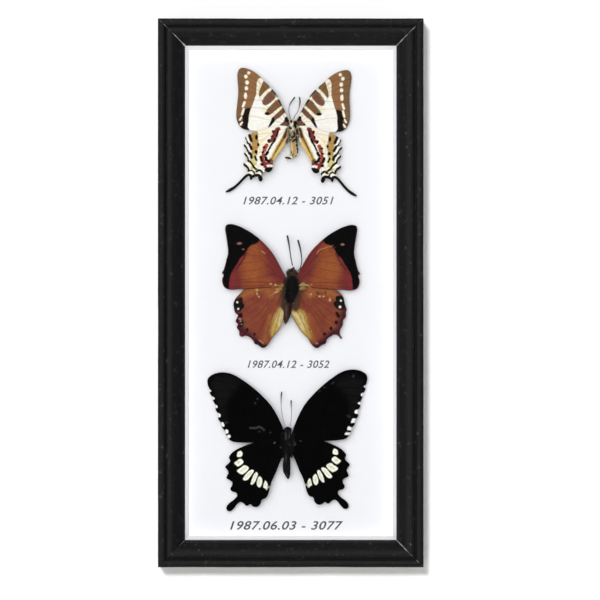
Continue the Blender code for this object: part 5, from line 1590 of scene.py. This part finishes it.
def buildWings(label, spec, anchor, seed):
    for pair in ("forewing", "hindwing"):
        wingSpec = spec[pair]
        material = wingMaterial(label + pair.capitalize() + "Scales", wingSpec)
        above = spec["wingHeight"] - (0.0 if spec["front"] == pair else wing["layer"])
        pairSeed = seed + (5 if pair == "hindwing" else 0)
        toRight = mirroredBy(*spec["right"][pair])
        rightOutline = wingSpec.get("rightOutline", [toRight(p) for p in wingSpec["outline"]])
        sides = (("left", -1, asIs, wingSpec["outline"], pairSeed + 3, {}),
                 ("right", 1, toRight, rightOutline, pairSeed + 11, wingSpec.get("rightLayers", {})))
        for side, sign, move, outline, own, fields in sides:
            obj = buildWing(label + side.capitalize() + pair.capitalize(), wingSpec, outline, move, sign,
                            anchor, above, spec["droop"], own, fields)
            settle(obj, label + "_wing", material, f"{label}_{pair}_{side}")


def buildBody(label, spec, rings, height, anchor, eyeLens):
    # Head, thorax and abdomen as one skin, with the eyes and any folded legs.
    parts = [("skin", ringMesh(rings))] + [("eye", blob(*eye[:2], turn=eye[2])) for eye in spec["eyes"]]
    for radius, route in spec.get("legs", []):
        knees = evenly(rounded([(x, -height - up, z) for x, up, z in route], 6, False), 0.25, False)
        parts.append(("skin", rod(knees, (radius * 1.2, radius, radius * 0.7), 10, 0.12)))
    verts, faces, kinds = joined(parts)
    flat = verts[:, (0, 2)]
    fields = {mark: markingField(flat, shapes, asIs) for mark, _, _, _, shapes in spec["marks"]}
    body = meshPiece(label + "Body", toRow(verts, anchor), faces, fields)
    facesOut(body)
    settle(body, label + "_body", bodyMaterial(label + "Skin", spec), label + "_body")
    body.data.materials.append(eyeLens)
    isEye = [kinds[polygon.vertices[0]] == "eye" for polygon in body.data.polygons]
    body.data.polygons.foreach_set("material_index", [int(e) for e in isEye])


def buildAntennae(label, spec, height, anchor):
    tones = antennaMaterial(label + "AntennaRings", *spec["antennaTones"])
    for side, route in spec["antennae"].items():
        flat = evenly(rounded(route, 8, False), 0.22, False)
        drop = np.linspace(0.0, 0.8, len(flat))
        points = np.column_stack([flat[:, 0], -height + drop, flat[:, 1]])
        verts, faces = rod(points, spec["antennaRadii"], 10, 0.14)
        fromRoot = np.append(np.repeat(np.linspace(0, 1, len(flat)), 10), [0.0, 1.0])
        obj = meshPiece(label + side.capitalize() + "Antenna", toRow(verts, anchor), faces,
                        {"fromRoot": fromRoot})
        facesOut(obj)
        settle(obj, "antenna", tones, f"{label}_antenna_{side}")


def buildSpecimen(label, spec, eyeLens, seed):
    rng = np.random.default_rng(seed)
    x, z = spec["place"]
    anchor = (middle.x + x * mm, boardFront, middle.z + z * mm)
    height = max(depth for _, _, _, depth in spec["body"]) + 0.3
    buildWings(label, spec, anchor, seed)
    line, rings = bodyRings(spec["body"], height, spec["groove"])
    buildBody(label, spec, rings, height, anchor, eyeLens)
    buildCoat(label, spec, line, height, anchor, rng)
    buildAntennae(label, spec, height, anchor)
    print(label, "done")


def tuftsOn(spec, rng):
    # Long hairs lying over the wing roots: from, to, count, length, direction and how pale.
    for x0, z0, x1, z1, count, length, aimX, aimZ, pale in spec["tufts"]:
        t = rng.random(count)
        level = np.full(count, -spec["wingHeight"] - fur["tuftLift"])
        roots = np.column_stack([x0 + (x1 - x0) * t, level, z0 + (z1 - z0) * t])
        roots = roots + rng.normal(0, 0.2, (count, 3))
        aims = np.column_stack([aimX + rng.normal(0, 0.3, count), rng.normal(-0.05, 0.08, count),
                                aimZ + rng.normal(0, 0.3, count)])
        sizes = length * (0.45 + 0.8 * rng.random(count))
        yield hairs(roots, aims, sizes, fur["tuftHair"], np.array(fur["tuftDroop"]), rng, 0.2), pale


def buildCoat(label, spec, line, height, anchor, rng):
    # The fur of the thorax and head, the down of the abdomen and the tufts over the wing roots.
    packs = []
    for low, high, count, length, lean in spec["coat"]:
        roots, aims, sizes = coatOn(line, height, rng, low, high, count, length, lean)
        packs.append((hairs(roots, aims, sizes, fur["hair"], np.array(fur["hairDroop"]), rng), 0.0))
    packs += tuftsOn(spec, rng)
    verts, faces, along, shade, pale = [], [], [], [], []
    start = 0
    for (points, polygons, t, tint), paleness in packs:
        verts.append(points)
        faces += [tuple(i + start for i in face) for face in polygons]
        along.append(t)
        shade.append(tint)
        pale.append(np.full(len(points), paleness))
        start += len(points)
    verts = np.vstack(verts)
    flat = verts[:, (0, 2)]
    dark = next(shapes for mark, _, _, _, shapes in spec["marks"] if mark in ("black", "grey"))
    fields = {"hairAlong": np.concatenate(along), "hairShade": np.concatenate(shade),
              "hairPale": np.concatenate(pale), "darkHair": markingField(flat, dark, asIs)}
    coat = meshPiece(label + "Fur", toRow(verts, anchor), faces, fields, smooth=False)
    settle(coat, label + "_body", hairMaterial(label + "Hair", spec))


eyeLens = eyeMaterial()
for number, (label, spec) in enumerate(specimens.items()):
    buildSpecimen(label, spec, eyeLens, 40 + 20 * number)


lettering = {
    "slant": 0.28, "spacing": 1.08, "weight": 0.013, "thickness": 0.004,
    "lift": 0.02,  # mm off the board
    "faded": tone(214, 215, 220),
}
captions = {
    # number, middle (x, z) from the frame's centre, width, height, ink
    "captionTop": ("1987.04.12 - 3051", -1.3, 53.0, 52.0, 4.6, (62, 61, 64)),
    "captionMiddle": ("1987.04.12 - 3052", -1.3, -41.0, 47.0, 4.4, (62, 61, 64)),
    "captionBottom": ("1987.06.03 - 3077", -2.4, -133.6, 65.0, 5.1, (34, 32, 34)),
}


def inkMaterial(name, ink):
    material, tree, shader = startMaterial(name, Specular_IOR_Level=0.15)
    patchy = clouds(tree, place(tree), 2600.0, 3.0, 0.6)
    colour = blend(tree, spread(tree, patchy, 0.45, 0.75, 0.0, 0.6), tone(*ink), lettering["faded"])
    connect(tree, shader, Base_Color=colour, Roughness=spread(tree, patchy, 0.3, 0.7, 0.6, 0.8))
    return material


def buildCaptions():
    for name, (words, x, z, width, height, ink) in captions.items():
        deselectAll()
        bpy.ops.object.text_add()
        text = bpy.context.object
        text.name = name
        text.data.body = words
        text.data.shear = lettering["slant"]
        text.data.space_character = lettering["spacing"]
        text.data.extrude = lettering["thickness"]
        text.data.offset = lettering["weight"]
        text.data.resolution_u = 4
        text.data.align_x = "CENTER"
        bpy.ops.object.convert(target="MESH")
        label = bpy.context.object
        label.name = name
        label.data.name = name
        spots = np.array([v.co[:] for v in label.data.vertices])
        low, high = spots.min(axis=0), spots.max(axis=0)
        scale = np.array([width, height, 5.0]) * mm / np.array([*(high - low)[:2], 1.0])
        across, up, out = ((spots - (low + high) / 2) * scale).T
        placed = np.column_stack([middle.x + x * mm + across, boardFront - lettering["lift"] * mm - out,
                                  middle.z + z * mm + up])
        label.data.vertices.foreach_set("co", placed.ravel())
        label.data.update()
        settle(label, "antenna", inkMaterial(name + "Ink", ink))


buildCaptions()
print("captions done")


hardware = {
    # the nodes' first word, bright and dull tone, roughness, fineness of the grain
    "galvanised": (("glazing", "hanger"), tone(186, 188, 190), tone(134, 137, 140), 0.34, 420.0),
    "brassPlate": (("sawtooth",), tone(205, 172, 96), tone(150, 116, 58), 0.3, 700.0),
}


def metalMaterial(name, bright, dull, rough, grainScale):
    material, tree, shader = startMaterial(name, Metallic=1.0)
    flakes = node(tree, "ShaderNodeTexVoronoi", {"Vector": place(tree), "Scale": grainScale})
    cloudy = clouds(tree, place(tree), grainScale * 0.6, 4.0, 0.6)
    mixed = calc(tree, "ADD", calc(tree, "MULTIPLY", flakes.outputs["Color"], 0.4),
                 calc(tree, "MULTIPLY", cloudy, 0.6))
    connect(tree, shader, Base_Color=blend(tree, spread(tree, mixed, 0.3, 0.7), dull, bright),
            Roughness=spread(tree, cloudy, 0.3, 0.7, rough - 0.08, rough + 0.14))
    bump(tree, shader, clouds(tree, place(tree), 5200.0, 3.0), 0.15, 0.00005)
    return material


def finishHardware():
    for finish, (kinds, *looks) in hardware.items():
        metal = metalMaterial(finish, *looks)
        for name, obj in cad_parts.items():
            if name.split("_")[0] in kinds:
                giveMaterial(obj, metal)


finishHardware()
print("hardware done")
